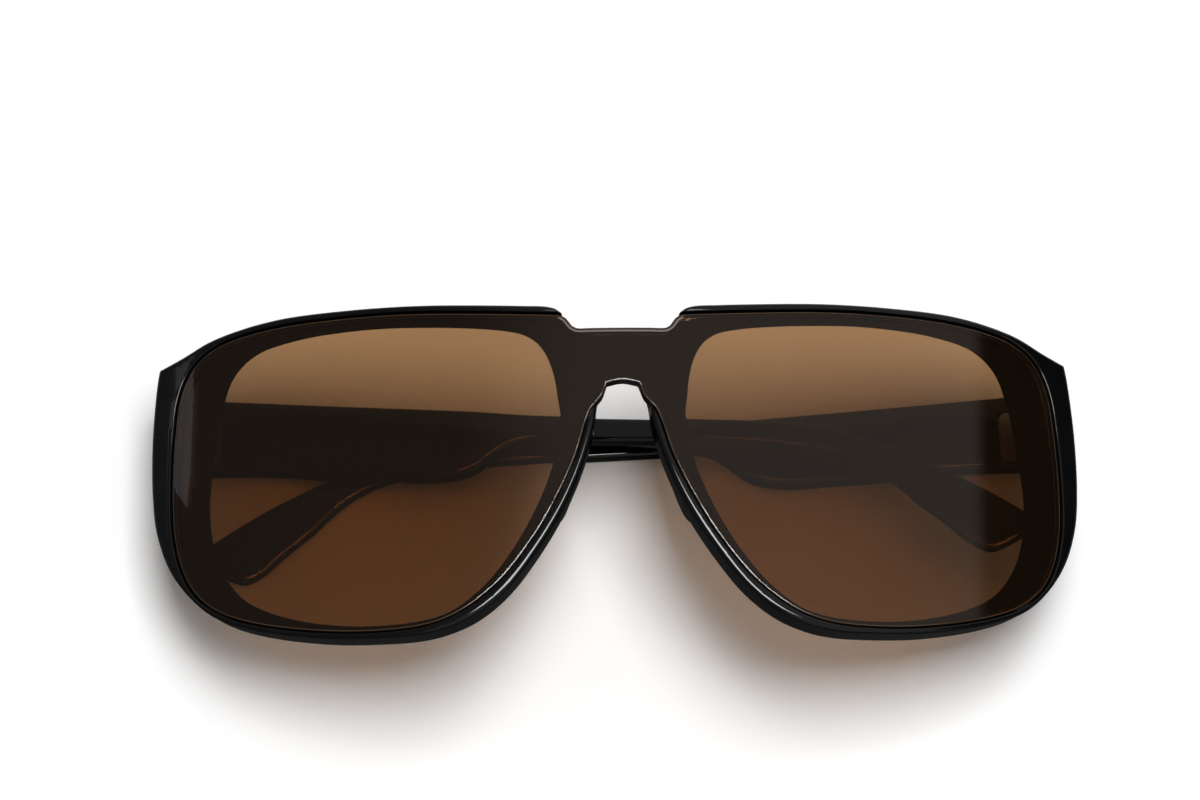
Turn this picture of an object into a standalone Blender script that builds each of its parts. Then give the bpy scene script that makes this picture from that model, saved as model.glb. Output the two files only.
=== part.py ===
"""Sunglasses with one curved shield lens, lying on their folded temples.

Axes: X across the front, Y towards the top edge of the front, Z up, out of the lens.
The origin is the middle of the bounding box's lower face. Rest is the folded pose.
"""

import math

import bmesh
import bpy
from mathutils import Vector

# Driving dimensions of the front, in metres
front_reach = 0.0800
wrap_radius = 0.1380
rim_depth = 0.0043
lip_rise = 0.0003
lens_thickness = 0.0020
fit_gap = 0.0003
running_gap = 0.0001
overrun = 0.0040
strip_width = 0.0052
edge_round = 0.0009
lip_round = 0.0007
lens_edge_round = 0.0003
outline_step = 0.0034
cut_tolerance = 0.00001
reach_share = 0.75
slope_share = 0.6
least_turn_share = 0.01

# Driving dimensions of the temples, in metres and degrees
corner_inset = 0.0004
endpiece_reach = 0.01195
hinge_offset = 0.0015
tip_clearance = 0.0015
tip_gap = 0.0004
temple_base_thickness = 0.0037
temple_arm_thickness = 0.0028
temple_tip_thickness = 0.0019
temple_edge_round = 0.0008
butt_lead = 0.0002
right_tilt_deg = 0.0
open_splay_deg = 4.0

# Front outline, right half, top centre round to the nose, as shares of front_reach
# A third value of 1 marks a sharp corner
rim_outline_shares = [
    (0.0000, 0.3094), (0.0912, 0.3094), (0.1050, 0.3175), (0.1187, 0.3387), (0.1225, 0.3500),
    (0.1300, 0.3581), (0.1475, 0.3638), (0.2000, 0.3681), (0.2812, 0.3744), (0.4188, 0.3856),
    (0.5750, 0.3937), (0.7000, 0.3969), (0.7875, 0.3906), (0.8662, 0.3769), (0.9275, 0.3556),
    (0.9863, 0.3394, 1), (0.9912, 0.3138), (0.9988, 0.2313), (1.0012, 0.1537), (0.9975, 0.0638),
    (0.9863, -0.0125), (0.9575, -0.0900), (0.9213, -0.1456), (0.8675, -0.2013), (0.8175, -0.2337),
    (0.7412, -0.2638), (0.6475, -0.2881), (0.5713, -0.3013), (0.4813, -0.3087), (0.4188, -0.3094),
    (0.3625, -0.3013), (0.3000, -0.2775), (0.2375, -0.2300), (0.1738, -0.1500), (0.1175, -0.0563),
    (0.0788, 0.0356), (0.0563, 0.1175), (0.0537, 0.1450), (0.0488, 0.1700), (0.0375, 0.1962),
    (0.0225, 0.2138), (0.0000, 0.2200),
]
# Eye opening, right side, full loop
eye_outline_shares = [
    (0.1256, 0.1375), (0.1300, 0.1725), (0.1350, 0.2125), (0.1437, 0.2487), (0.1575, 0.2800),
    (0.1762, 0.3038), (0.2000, 0.3187), (0.2313, 0.3275), (0.2750, 0.3350), (0.4088, 0.3500),
    (0.5312, 0.3588), (0.6825, 0.3575), (0.7750, 0.3412), (0.8238, 0.3050), (0.8488, 0.2475),
    (0.8738, 0.1050), (0.8787, 0.0250), (0.8713, -0.0400), (0.8550, -0.0925), (0.8287, -0.1400),
    (0.7863, -0.1862), (0.7063, -0.2313), (0.6000, -0.2638), (0.5000, -0.2769), (0.4088, -0.2750),
    (0.3500, -0.2600), (0.2850, -0.2138), (0.2250, -0.1400), (0.1675, -0.0350), (0.1381, 0.0500),
]
# Lens outline, right half, notch centre round to the nose arch
lens_outline_shares = [
    (0.0000, 0.3075), (0.0875, 0.3075), (0.1000, 0.3144), (0.1137, 0.3337), (0.1219, 0.3419),
    (0.1363, 0.3456), (0.2000, 0.3500), (0.2812, 0.3563), (0.4450, 0.3700), (0.5750, 0.3763),
    (0.6937, 0.3788), (0.7875, 0.3731), (0.8488, 0.3606), (0.8925, 0.3362), (0.9200, 0.3006),
    (0.9363, 0.2550), (0.9437, 0.1938), (0.9475, 0.1313), (0.9475, 0.0375), (0.9400, -0.0400),
    (0.9175, -0.1150), (0.8825, -0.1700), (0.8313, -0.2112), (0.7600, -0.2437), (0.6500, -0.2737),
    (0.5250, -0.2925), (0.4062, -0.2919), (0.3400, -0.2737), (0.2600, -0.2200), (0.1900, -0.1363),
    (0.1350, -0.0437), (0.0975, 0.0387), (0.0738, 0.1163), (0.0625, 0.1425), (0.0525, 0.1537),
    (0.0425, 0.1650), (0.0312, 0.1950, 1), (0.0000, 0.2013),
]
# Bonded nose pad, right side, full loop
pad_outline_shares = [
    (0.1120, 0.0900), (0.0930, 0.0850), (0.0870, 0.0600), (0.0960, 0.0150), (0.1120, -0.0350),
    (0.1310, -0.0700), (0.1500, -0.0760), (0.1590, -0.0600), (0.1510, -0.0250), (0.1350, 0.0300),
    (0.1250, 0.0700),
]
pad_height = 0.0019
pad_round = 0.0007

# Temple side outline, butt along the top edge to the tip and back, as shares of temple_reach
temple_outline_shares = [
    (-0.0014, 0.1985, 1), (0.0470, 0.1942), (0.1600, 0.1838), (0.2888, 0.1726), (0.4404, 0.1596),
    (0.5848, 0.1502), (0.7191, 0.1394), (0.7581, 0.1321), (0.8043, 0.1155), (0.8339, 0.1032),
    (0.8664, 0.0866), (0.9191, 0.0585), (0.9700, 0.0260), (0.9935, 0.0080), (0.9985, 0.0000),
    (0.9930, -0.0080), (0.9560, -0.0295), (0.9422, -0.0318), (0.9206, -0.0202),
    (0.8950, 0.0040), (0.8664, 0.0282), (0.8303, 0.0635), (0.8014, 0.0830), (0.7726, 0.0953),
    (0.7250, 0.1060), (0.6570, 0.1162), (0.5487, 0.1235), (0.4549, 0.1278), (0.4159, 0.1300),
    (0.3856, 0.1256), (0.3646, 0.1126), (0.3394, 0.0931), (0.2996, 0.0845), (0.2383, 0.0881),
    (0.1733, 0.0924), (0.0939, 0.1011), (0.0361, 0.1033), (-0.0014, 0.1042, 1),
]
step_start_share = 0.3180
step_end_share = 0.4188
step_cut_count = 6

# Flat wire core along the temple, as shares of temple_reach
core_path_shares = [
    (0.0022, 0.1820), (0.7220, 0.1220), (0.7726, 0.1098), (0.8087, 0.0960), (0.8520, 0.0693),
    (0.9100, 0.0289),
]
core_thickness = 0.0006
core_width = 0.0014
core_cover = 0.0006

# Hinge, five knuckles on one screw
hinge_margin = 0.0010
hinge_height = 0.0086
knuckle_radius = 0.0015
knuckle_count = 5
screw_radius = 0.0007
screw_head_radius = 0.0012
screw_head_height = 0.0007
screw_slot_width = 0.0004
screw_slot_depth = 0.0003
leaf_thickness = 0.0010
leaf_proud = 0.0003
leaf_length = 0.0050
leaf_corner = 0.0014
round_side_count = 24

# Endpieces behind the outer corners of the front
endpiece_low_margin = 0.0008
endpiece_high_margin = 0.0017
endpiece_edge_round = 0.0008
root_outer_share = 0.977
root_inner_share = 0.925
root_back_share = 0.905

# Values worked out from the driving dimensions
lens_floor = lens_thickness + fit_gap
outer_offset = hinge_offset + temple_base_thickness
wrap_angle = front_reach / wrap_radius
hinge_half_spacing = wrap_radius * math.sin(wrap_angle) - corner_inset - outer_offset
hinge_depth = wrap_radius * (1 - math.cos(wrap_angle)) + endpiece_reach
floor_drop = hinge_depth + outer_offset
temple_reach = 2 * hinge_half_spacing - tip_clearance
butt_low = temple_outline_shares[-1][1] * temple_reach
hinge_low = butt_low + hinge_margin
hinge_high = hinge_low + hinge_height
head_room = fit_gap + screw_head_height + fit_gap
endpiece_low = hinge_low - endpiece_low_margin
endpiece_high = hinge_high + head_room + endpiece_high_margin
back_radius = wrap_radius - rim_depth
tip_x = hinge_half_spacing - tip_clearance
rim_back_height = math.sqrt(back_radius ** 2 - tip_x ** 2) - wrap_radius + floor_drop
tip_lift = rim_back_height - tip_gap - temple_tip_thickness
left_tilt_deg = math.degrees(math.asin(tip_lift / temple_reach))
endpiece_end = butt_lead + fit_gap
bore_radius = screw_radius + running_gap
pocket_floor = hinge_offset - leaf_proud + leaf_thickness + fit_gap
knuckle_height = (hinge_height - (knuckle_count - 1) * fit_gap) / knuckle_count
outline_high = max(point[1] for point in rim_outline_shares)
outline_low = min(point[1] for point in rim_outline_shares)
middle_height = (outline_high + outline_low) / 2 * front_reach

for old in list(bpy.data.objects):
    bpy.data.objects.remove(old, do_unlink=True)

scene_collection = bpy.context.scene.collection


def make_material(name, colour, roughness, metallic=0.0, alpha=1.0):
    """Principled material with the part's colour, roughness and metallic value."""
    material = bpy.data.materials.new(name)
    material.use_nodes = True
    shader = material.node_tree.nodes["Principled BSDF"]
    shader.inputs["Base Color"].default_value = (*colour, 1.0)
    shader.inputs["Roughness"].default_value = roughness
    shader.inputs["Metallic"].default_value = metallic
    shader.inputs["Alpha"].default_value = alpha
    return material


gloss_black = make_material("gloss_black", (0.012, 0.012, 0.013), 0.12)
brown_lens = make_material("brown_lens", (0.20, 0.11, 0.06), 0.04, alpha=0.5)
brushed_steel = make_material("brushed_steel", (0.46, 0.46, 0.47), 0.32, metallic=1.0)
soft_black = make_material("soft_black", (0.02, 0.02, 0.02), 0.55)


def scaled(shares, size):
    """Turn a table of shares into points; a third value of 1 marks a sharp corner."""
    return [(p[0] * size, p[1] * size, len(p) > 2) for p in shares]


def mirrored(half):
    """Close a right half, which starts and ends on the middle line, into a full loop."""
    left = [(-x, y, sharp) for x, y, sharp in half[1:-1]]
    return half + left[::-1]


def curve_point(p0, p1, p2, p3, t):
    """Point on the centripetal curve between p1 and p2."""
    knots = [0.0]
    for a, b in ((p0, p1), (p1, p2), (p2, p3)):
        knots.append(knots[-1] + max(math.dist(a, b), running_gap / 100) ** 0.5)
    k0, k1, k2, k3 = knots
    k = k1 + (k2 - k1) * t

    def mix(a, b, ka, kb):
        f = (k - ka) / (kb - ka)
        return (a[0] + (b[0] - a[0]) * f, a[1] + (b[1] - a[1]) * f)

    a1 = mix(p0, p1, k0, k1)
    a2 = mix(p1, p2, k1, k2)
    a3 = mix(p2, p3, k2, k3)
    b1 = mix(a1, a2, k0, k2)
    b2 = mix(a2, a3, k1, k3)
    return mix(b1, b2, k1, k2)


def smooth_loop(points, step=None):
    """Closed smooth outline through the points, straight on to its sharp corners."""
    step = step or outline_step
    loop = []
    total = len(points)
    for i in range(total):
        p1 = points[i]
        p2 = points[(i + 1) % total]
        p0 = p1 if p1[2] else points[i - 1]
        p3 = p2 if p2[2] else points[(i + 2) % total]
        pieces = max(1, round(math.dist(p1[:2], p2[:2]) / step))
        start = (2 * p1[0] - p2[0], 2 * p1[1] - p2[1]) if p1[2] else p0[:2]
        end = (2 * p2[0] - p1[0], 2 * p2[1] - p1[1]) if p2[2] else p3[:2]
        for j in range(pieces):
            loop.append(curve_point(start, p1[:2], p2[:2], end, j / pieces))
    return loop


def turned_ccw(loop):
    """The loop in anticlockwise order."""
    area = sum(a[0] * b[1] - b[0] * a[1] for a, b in zip(loop, loop[1:] + loop[:1]))
    return loop if area > 0 else loop[::-1]


def reach_limits(loop, way):
    """How far each point of a loop can move inwards (way 1) or outwards before it crosses."""
    total = len(loop)
    lengths = [math.dist(loop[i], loop[(i + 1) % total]) for i in range(total)]
    limits = []
    for i in range(total):
        before = Vector(loop[i]) - Vector(loop[i - 1])
        after = Vector(loop[(i + 1) % total]) - Vector(loop[i])
        turn = way * math.atan2(before.cross(after), before.dot(after))
        limits.append(reach_share * (lengths[i - 1] + lengths[i]) / 2 / max(turn, least_turn_share))
    for _ in range(2):
        for i in range(total):
            limits[i] = min(limits[i], limits[i - 1] + slope_share * lengths[i - 1])
        for i in range(total - 1, -1, -1):
            limits[i] = min(limits[i], limits[(i + 1) % total] + slope_share * lengths[i])
    return limits


def inset(loop, distance):
    """Move an anticlockwise loop inwards by a distance, outwards where it is negative."""
    moved = []
    total = len(loop)
    limits = reach_limits(loop, math.copysign(1, distance))
    for i in range(total):
        before = Vector(loop[i]) - Vector(loop[i - 1])
        after = Vector(loop[(i + 1) % total]) - Vector(loop[i])
        n1 = Vector((-before.y, before.x)).normalized()
        n2 = Vector((-after.y, after.x)).normalized()
        both = n1 + n2
        miter = both * (2 / max(both.length_squared, 1.6))
        step = math.copysign(min(abs(distance), limits[i]), distance)
        moved.append((loop[i][0] + miter.x * step, loop[i][1] + miter.y * step))
    return moved


def add_object(name, mesh, material=None):
    """Link a mesh as an object."""
    obj = bpy.data.objects.new(name, mesh)
    scene_collection.objects.link(obj)
    if material:
        mesh.materials.clear()
        mesh.materials.append(material)
    return obj


def face_outwards(bm):
    """Turn the faces of a closed body so that they point outwards."""
    bm.normal_update()
    if bm.calc_volume(signed=True) < 0:
        bmesh.ops.reverse_faces(bm, faces=bm.faces)


def loft(name, rings, place):
    """Closed body through rings of (loop, level), each point placed by a function."""
    bm = bmesh.new()
    layers = [[bm.verts.new(place(x, y, level)) for x, y in loop] for loop, level in rings]
    count = len(layers[0])
    for low, high in zip(layers, layers[1:]):
        for i in range(count):
            j = (i + 1) % count
            bm.faces.new((low[i], low[j], high[j], high[i]))
    bm.faces.new(layers[0][::-1])
    bm.faces.new(layers[-1])
    face_outwards(bm)
    mesh = bpy.data.meshes.new(name)
    bm.to_mesh(mesh)
    bm.free()
    return add_object(name, mesh)


def combine(target, tool, operation):
    """Boolean of two objects, kept on the target; the tool is removed."""
    modifier = target.modifiers.new("combine", "BOOLEAN")
    modifier.operation = operation
    modifier.solver = "EXACT"
    modifier.object = tool
    bpy.context.view_layer.update()
    graph = bpy.context.evaluated_depsgraph_get()
    mesh = bpy.data.meshes.new_from_object(target.evaluated_get(graph))
    target.modifiers.clear()
    old = target.data
    target.data = mesh
    bpy.data.meshes.remove(old)
    bpy.data.objects.remove(tool, do_unlink=True)
    return target


def cut_in_strips(obj, places, reshape):
    """Cut a flat body across X at the given places, then move every point by a function."""
    bm = bmesh.new()
    bm.from_mesh(obj.data)
    bmesh.ops.triangulate(bm, faces=bm.faces, ngon_method="BEAUTY")
    for place in places:
        everything = bm.verts[:] + bm.edges[:] + bm.faces[:]
        bmesh.ops.bisect_plane(
            bm, geom=everything, dist=cut_tolerance, plane_co=(place, 0, 0), plane_no=(1, 0, 0)
        )
    bmesh.ops.triangulate(bm, faces=bm.faces, ngon_method="BEAUTY")
    for vertex in bm.verts:
        vertex.co = reshape(*vertex.co)
    face_outwards(bm)
    bm.to_mesh(obj.data)
    bm.free()
    return obj


def flat_place(x, y, level):
    """Keep a point flat, the level along Z."""
    return (x, y, level)


def bend(x, y, level):
    """Wrap a flat point of the front round its vertical axis and place it on the table."""
    radius = wrap_radius + level
    angle = x / wrap_radius
    depth = radius * math.cos(angle) - wrap_radius
    return (radius * math.sin(angle), y - middle_height, depth + floor_drop)


def block(name, low, high):
    """Box between two corners."""
    loop = [(low[0], low[1]), (high[0], low[1]), (high[0], high[1]), (low[0], high[1])]
    return loft(name, [(loop, low[2]), (loop, high[2])], flat_place)


def rod(name, centre, radius, low, high):
    """Round rod along Y, centre given as (x, z)."""
    loop = []
    for i in range(round_side_count):
        turn = 2 * math.pi * (i + 0.5) / round_side_count
        loop.append((centre[0] + radius * math.cos(turn), centre[1] + radius * math.sin(turn)))
    return loft(name, [(loop, low), (loop, high)], lambda x, z, y: (x, y, z))


def finish(obj, name, material):
    """Name a body, give it its material and smooth shading with sharp edges kept."""
    obj.name = name
    obj.data.name = name
    obj.data.materials.clear()
    obj.data.materials.append(material)
    for polygon in obj.data.polygons:
        polygon.material_index = 0
    obj.data.shade_smooth()
    obj.data.set_sharp_from_angle(angle=math.radians(32))
    return obj


strip_total = math.ceil(front_reach / strip_width)
strip_places = [k * strip_width for k in range(-strip_total, strip_total + 1)]

# Front frame: rim plate, lens recess and eye openings
rim_loop = turned_ccw(smooth_loop(mirrored(scaled(rim_outline_shares, front_reach))))
lens_loop = turned_ccw(smooth_loop(mirrored(scaled(lens_outline_shares, front_reach))))
eye_loop = turned_ccw(smooth_loop(scaled(eye_outline_shares, front_reach)))
rim_rings = [
    (inset(rim_loop, edge_round), -rim_depth),
    (inset(rim_loop, edge_round * 0.3), -rim_depth + edge_round * 0.3),
    (rim_loop, -rim_depth + edge_round),
    (rim_loop, lip_rise - lip_round),
    (inset(rim_loop, lip_round * 0.3), lip_rise - lip_round * 0.3),
    (inset(rim_loop, lip_round), lip_rise),
]
front_frame = loft("front_frame", rim_rings, flat_place)
recess_rings = [
    (inset(lens_loop, -fit_gap), -lens_floor),
    (inset(lens_loop, -fit_gap), lip_rise - lip_round * 0.8),
    (inset(lens_loop, -fit_gap - lip_round * 0.2), lip_rise - lip_round * 0.25),
    (inset(lens_loop, -fit_gap - lip_round * 0.6), lip_rise),
    (inset(lens_loop, -fit_gap - lip_round * 0.8), lip_rise + overrun),
]
combine(front_frame, loft("recess", recess_rings, flat_place), "DIFFERENCE")
for side in (1, -1):
    opening = turned_ccw([(side * x, y) for x, y in eye_loop])
    opening_rings = [
        (inset(opening, -edge_round), -rim_depth - overrun),
        (inset(opening, -edge_round), -rim_depth),
        (inset(opening, -edge_round * 0.3), -rim_depth + edge_round * 0.3),
        (opening, -rim_depth + edge_round),
        (opening, overrun),
    ]
    combine(front_frame, loft("opening", opening_rings, flat_place), "DIFFERENCE")
cut_in_strips(front_frame, strip_places, bend)

# Endpieces, swept back from the outer corners to the hinges
hinge_level = floor_drop - hinge_depth
outer_x = hinge_half_spacing + outer_offset
inner_x = hinge_half_spacing + hinge_offset
end_level = hinge_level + endpiece_end
root_outer = bend(front_reach * root_outer_share, 0, -rim_depth * 0.2)
root_inner = bend(front_reach * root_inner_share, 0, -lens_floor - fit_gap)
root_back = bend(front_reach * root_back_share, 0, -rim_depth + fit_gap * 3)
endpiece_rise = root_outer[2] - end_level


def endpiece_outline():
    """Outline of the endpiece seen along Y, right side."""
    return [
        (root_outer[0], root_outer[2], True),
        (outer_x - leaf_proud, end_level + endpiece_rise * 0.80, False),
        (outer_x, end_level + endpiece_rise * 0.55, False),
        (outer_x, end_level, True),
        (inner_x, end_level, True),
        (inner_x, end_level + endpiece_rise * 0.45, False),
        (root_back[0], root_back[2], True),
        (root_inner[0], root_inner[2], True),
    ]


def eased(loop, distance):
    """Inset of the endpiece's outline that fades out where the piece enters the rim."""
    ring = []
    for old, new in zip(loop, inset(loop, distance)):
        share = min(1, max(0, (root_outer[2] - old[1]) / rim_depth))
        ring.append((old[0] + (new[0] - old[0]) * share, old[1] + (new[1] - old[1]) * share))
    return ring


for side in (1, -1):
    loop = [(side * x, z) for x, z in smooth_loop(endpiece_outline(), outline_step / 2)]
    loop = turned_ccw(loop)
    low = endpiece_low - middle_height
    high = endpiece_high - middle_height
    round_size = endpiece_edge_round
    rings = [
        (eased(loop, round_size), low),
        (eased(loop, round_size * 0.3), low + round_size * 0.3),
        (loop, low + round_size),
        (loop, high - round_size),
        (eased(loop, round_size * 0.3), high - round_size * 0.3),
        (eased(loop, round_size), high),
    ]
    endpiece = loft("endpiece", rings, lambda x, z, y: (x, y, z))
    combine(front_frame, endpiece, "UNION")
    pocket_low = (inner_x - overrun, hinge_low - fit_gap - middle_height, end_level - overrun)
    pocket_high = (
        hinge_half_spacing + pocket_floor,
        hinge_high + fit_gap - middle_height,
        hinge_level + leaf_length + fit_gap,
    )
    corners = sorted((side * pocket_low[0], side * pocket_high[0]))
    pocket = block(
        "pocket",
        (corners[0], pocket_low[1], pocket_low[2]),
        (corners[1], pocket_high[1], pocket_high[2]),
    )
    combine(front_frame, pocket, "DIFFERENCE")
    head_top = hinge_high + fit_gap + screw_head_height + fit_gap - middle_height
    barrel_room = rod(
        "barrel_room",
        (side * hinge_half_spacing, hinge_level),
        knuckle_radius + fit_gap,
        hinge_low - fit_gap - middle_height,
        head_top,
    )
    combine(front_frame, barrel_room, "DIFFERENCE")
finish(front_frame, "front_frame", gloss_black)

# Shield lens
lens_rings = [
    (inset(lens_loop, lens_edge_round), -lens_thickness),
    (lens_loop, -lens_thickness + lens_edge_round),
    (lens_loop, -lens_edge_round),
    (inset(lens_loop, lens_edge_round), 0),
]
shield_lens = loft("shield_lens", lens_rings, flat_place)
cut_in_strips(shield_lens, strip_places, bend)
finish(shield_lens, "shield_lens", brown_lens)

# Nose pads, bonded to the back of the rims
pad_base = turned_ccw(smooth_loop(scaled(pad_outline_shares, front_reach), outline_step / 2))
for side, prefix in ((1, "right"), (-1, "left")):
    pad_loop = turned_ccw([(side * x, y) for x, y in pad_base])
    pad_back = -rim_depth - fit_gap
    pad_rings = [
        (inset(pad_loop, pad_round * 1.3), pad_back - pad_height),
        (inset(pad_loop, pad_round * 0.4), pad_back - pad_height + pad_round * 0.5),
        (pad_loop, pad_back - pad_height + pad_round * 1.4),
        (pad_loop, pad_back),
    ]
    pad = loft("pad", pad_rings, flat_place)
    cut_in_strips(pad, strip_places, bend)
    finish(pad, prefix + "_nose_pad", soft_black)


def temple_thickness(along):
    """Thickness of the temple at a distance along it from the hinge axis."""
    start = step_start_share * temple_reach
    end = step_end_share * temple_reach
    if along <= start:
        return temple_base_thickness
    if along <= end:
        f = (along - start) / (end - start)
        f = f * f * (3 - 2 * f)
        return temple_base_thickness + (temple_arm_thickness - temple_base_thickness) * f
    f = (along - end) / (temple_reach - end)
    return temple_arm_thickness + (temple_tip_thickness - temple_arm_thickness) * f


def temple_shape(along, height, level):
    """Thin a flat temple towards its tip and slant its butt; level 0 is the outer face."""
    offset = outer_offset - level * temple_thickness(along) / temple_base_thickness
    if along < fit_gap * 3:
        along += offset * math.tan(math.radians(open_splay_deg))
    return (along, height, offset)


def widened(path, half_width):
    """Closed outline at a half width on both sides of an open path."""
    left = []
    right = []
    for i, point in enumerate(path):
        ahead = Vector(path[min(i + 1, len(path) - 1)])
        behind = Vector(path[max(i - 1, 0)])
        way = (ahead - behind).normalized()
        across = Vector((-way.y, way.x)) * half_width
        left.append((point[0] + across.x, point[1] + across.y))
        right.append((point[0] - across.x, point[1] - across.y))
    return turned_ccw(left + right[::-1])


def leaf(name, own_knuckles):
    """Hinge leaf in hinge coordinates: X along the leaf, Y along the axis, Z offset."""
    start = knuckle_radius + fit_gap
    low_offset = hinge_offset - leaf_proud
    high_offset = low_offset + leaf_thickness
    corners = [
        (start, hinge_low, True),
        (leaf_length - leaf_corner, hinge_low, True),
        (leaf_length - leaf_corner * 0.3, hinge_low + leaf_corner * 0.3, False),
        (leaf_length, hinge_low + leaf_corner, True),
        (leaf_length, hinge_high - leaf_corner, True),
        (leaf_length - leaf_corner * 0.3, hinge_high - leaf_corner * 0.3, False),
        (leaf_length - leaf_corner, hinge_high, True),
        (start, hinge_high, True),
    ]
    plate_loop = turned_ccw([(x, y) for x, y, _ in corners])
    plate = loft(name, [(plate_loop, low_offset), (plate_loop, high_offset)], flat_place)
    for k in own_knuckles:
        low = hinge_low + k * (knuckle_height + fit_gap)
        high = low + knuckle_height
        knuckle = rod("knuckle", (0, 0), knuckle_radius, low, high)
        tab = block(
            "tab",
            (0, low, knuckle_radius * 0.3),
            (start + leaf_proud, high, high_offset),
        )
        combine(knuckle, tab, "UNION")
        combine(plate, knuckle, "UNION")
    bore = rod("bore", (0, 0), bore_radius, hinge_low - overrun, hinge_high + overrun)
    combine(plate, bore, "DIFFERENCE")
    return plate


def reshape_mesh(obj, move):
    """Move every point of a mesh by a function and face it outwards."""
    bm = bmesh.new()
    bm.from_mesh(obj.data)
    for vertex in bm.verts:
        vertex.co = move(*vertex.co)
    face_outwards(bm)
    bm.to_mesh(obj.data)
    bm.free()
    return obj


temple_loop = turned_ccw(smooth_loop(scaled(temple_outline_shares, temple_reach)))
step_start = step_start_share * temple_reach
step_length = (step_end_share - step_start_share) * temple_reach
temple_places = [step_start + step_length * k / step_cut_count for k in range(step_cut_count + 1)]
core_path = [(x * temple_reach, y * temple_reach) for x, y in core_path_shares]
channel_path = [(core_path[0][0] - overrun, core_path[0][1])] + core_path[:-1]
last_way = (Vector(core_path[-1]) - Vector(core_path[-2])).normalized() * fit_gap
channel_path.append((core_path[-1][0] + last_way.x, core_path[-1][1] + last_way.y))

for side, prefix, tilt_deg in ((1, "right", right_tilt_deg), (-1, "left", left_tilt_deg)):

    def folded(along, height, offset, side=side):
        """Hinge coordinates of a folded temple to the temple object's own axes."""
        return (-side * along, height - middle_height, -offset)

    def forward(along, height, offset, side=side):
        """Hinge coordinates of the front leaf to the hinge's own axes."""
        return (side * offset, height - middle_height, along)

    hinge = bpy.data.objects.new(prefix + "_hinge_axis", None)
    scene_collection.objects.link(hinge)
    hinge.location = (side * hinge_half_spacing, 0, hinge_level)
    hinge.rotation_euler = (0, math.radians(side * tilt_deg), 0)

    # Temple body
    edge = temple_edge_round
    thick = temple_base_thickness
    temple_rings = [
        (inset(temple_loop, edge), 0),
        (inset(temple_loop, edge * 0.3), edge * 0.3),
        (temple_loop, edge),
        (temple_loop, thick - edge),
        (inset(temple_loop, edge * 0.3), thick - edge * 0.3),
        (inset(temple_loop, edge), thick),
    ]
    temple = loft("temple", temple_rings, flat_place)
    cut_in_strips(temple, temple_places, temple_shape)

    # Channel for the core, open at the butt end
    core_outer = outer_offset - core_cover - fit_gap
    core_inner = core_outer - core_thickness
    channel_loop = widened(channel_path, core_width / 2 + fit_gap)
    channel_rings = [(channel_loop, core_inner - fit_gap), (channel_loop, core_outer + fit_gap)]
    combine(temple, loft("channel", channel_rings, flat_place), "DIFFERENCE")

    # Pocket for the leaf and room for the barrel and the screw head
    pocket = block(
        "pocket",
        (-overrun, hinge_low - fit_gap, hinge_offset - overrun),
        (leaf_length + fit_gap, hinge_high + fit_gap, pocket_floor),
    )
    combine(temple, pocket, "DIFFERENCE")
    barrel_room = rod(
        "barrel_room",
        (0, 0),
        knuckle_radius + fit_gap,
        hinge_low - fit_gap,
        hinge_high + fit_gap + screw_head_height + fit_gap,
    )
    combine(temple, barrel_room, "DIFFERENCE")
    reshape_mesh(temple, folded)
    finish(temple, prefix + "_temple", gloss_black)
    temple.parent = hinge

    # Wire core
    core_loop = widened(core_path, core_width / 2)
    core = loft("core", [(core_loop, core_inner), (core_loop, core_outer)], folded)
    finish(core, prefix + "_temple_core", brushed_steel)
    core.parent = hinge

    # Hinge leaves
    temple_leaf = reshape_mesh(leaf("temple_leaf", range(1, knuckle_count, 2)), folded)
    finish(temple_leaf, prefix + "_hinge_temple_leaf", brushed_steel)
    temple_leaf.parent = hinge
    front_leaf = reshape_mesh(leaf("front_leaf", range(0, knuckle_count, 2)), forward)
    finish(front_leaf, prefix + "_hinge_front_leaf", brushed_steel)
    front_leaf.location = hinge.location

    # Hinge screw with a slotted head
    screw = rod("screw", (0, 0), screw_radius, hinge_low, hinge_high + fit_gap * 2)
    head_low = hinge_high + fit_gap
    head_high = head_low + screw_head_height
    head = rod("head", (0, 0), screw_head_radius, head_low, head_high)
    combine(screw, head, "UNION")
    slot = block(
        "slot",
        (-overrun, head_high - screw_slot_depth, -screw_slot_width / 2),
        (overrun, head_high + overrun, screw_slot_width / 2),
    )
    combine(screw, slot, "DIFFERENCE")
    reshape_mesh(screw, forward)
    finish(screw, prefix + "_hinge_screw", brushed_steel)
    screw.location = hinge.location
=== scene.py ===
"""Looks of the shield sunglasses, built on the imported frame.

The front, lens, temples and nose pads are modelled finely over their CAD nodes, the hinge
barrels come from a Geometry Nodes graph, and every surface gets a procedural material.
"""

import logging
import math
from dataclasses import dataclass
from enum import Enum
from typing import Any, Callable, Iterable, Optional, Sequence, Union

import bmesh
import bpy
from mathutils import Matrix, Vector

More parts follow.
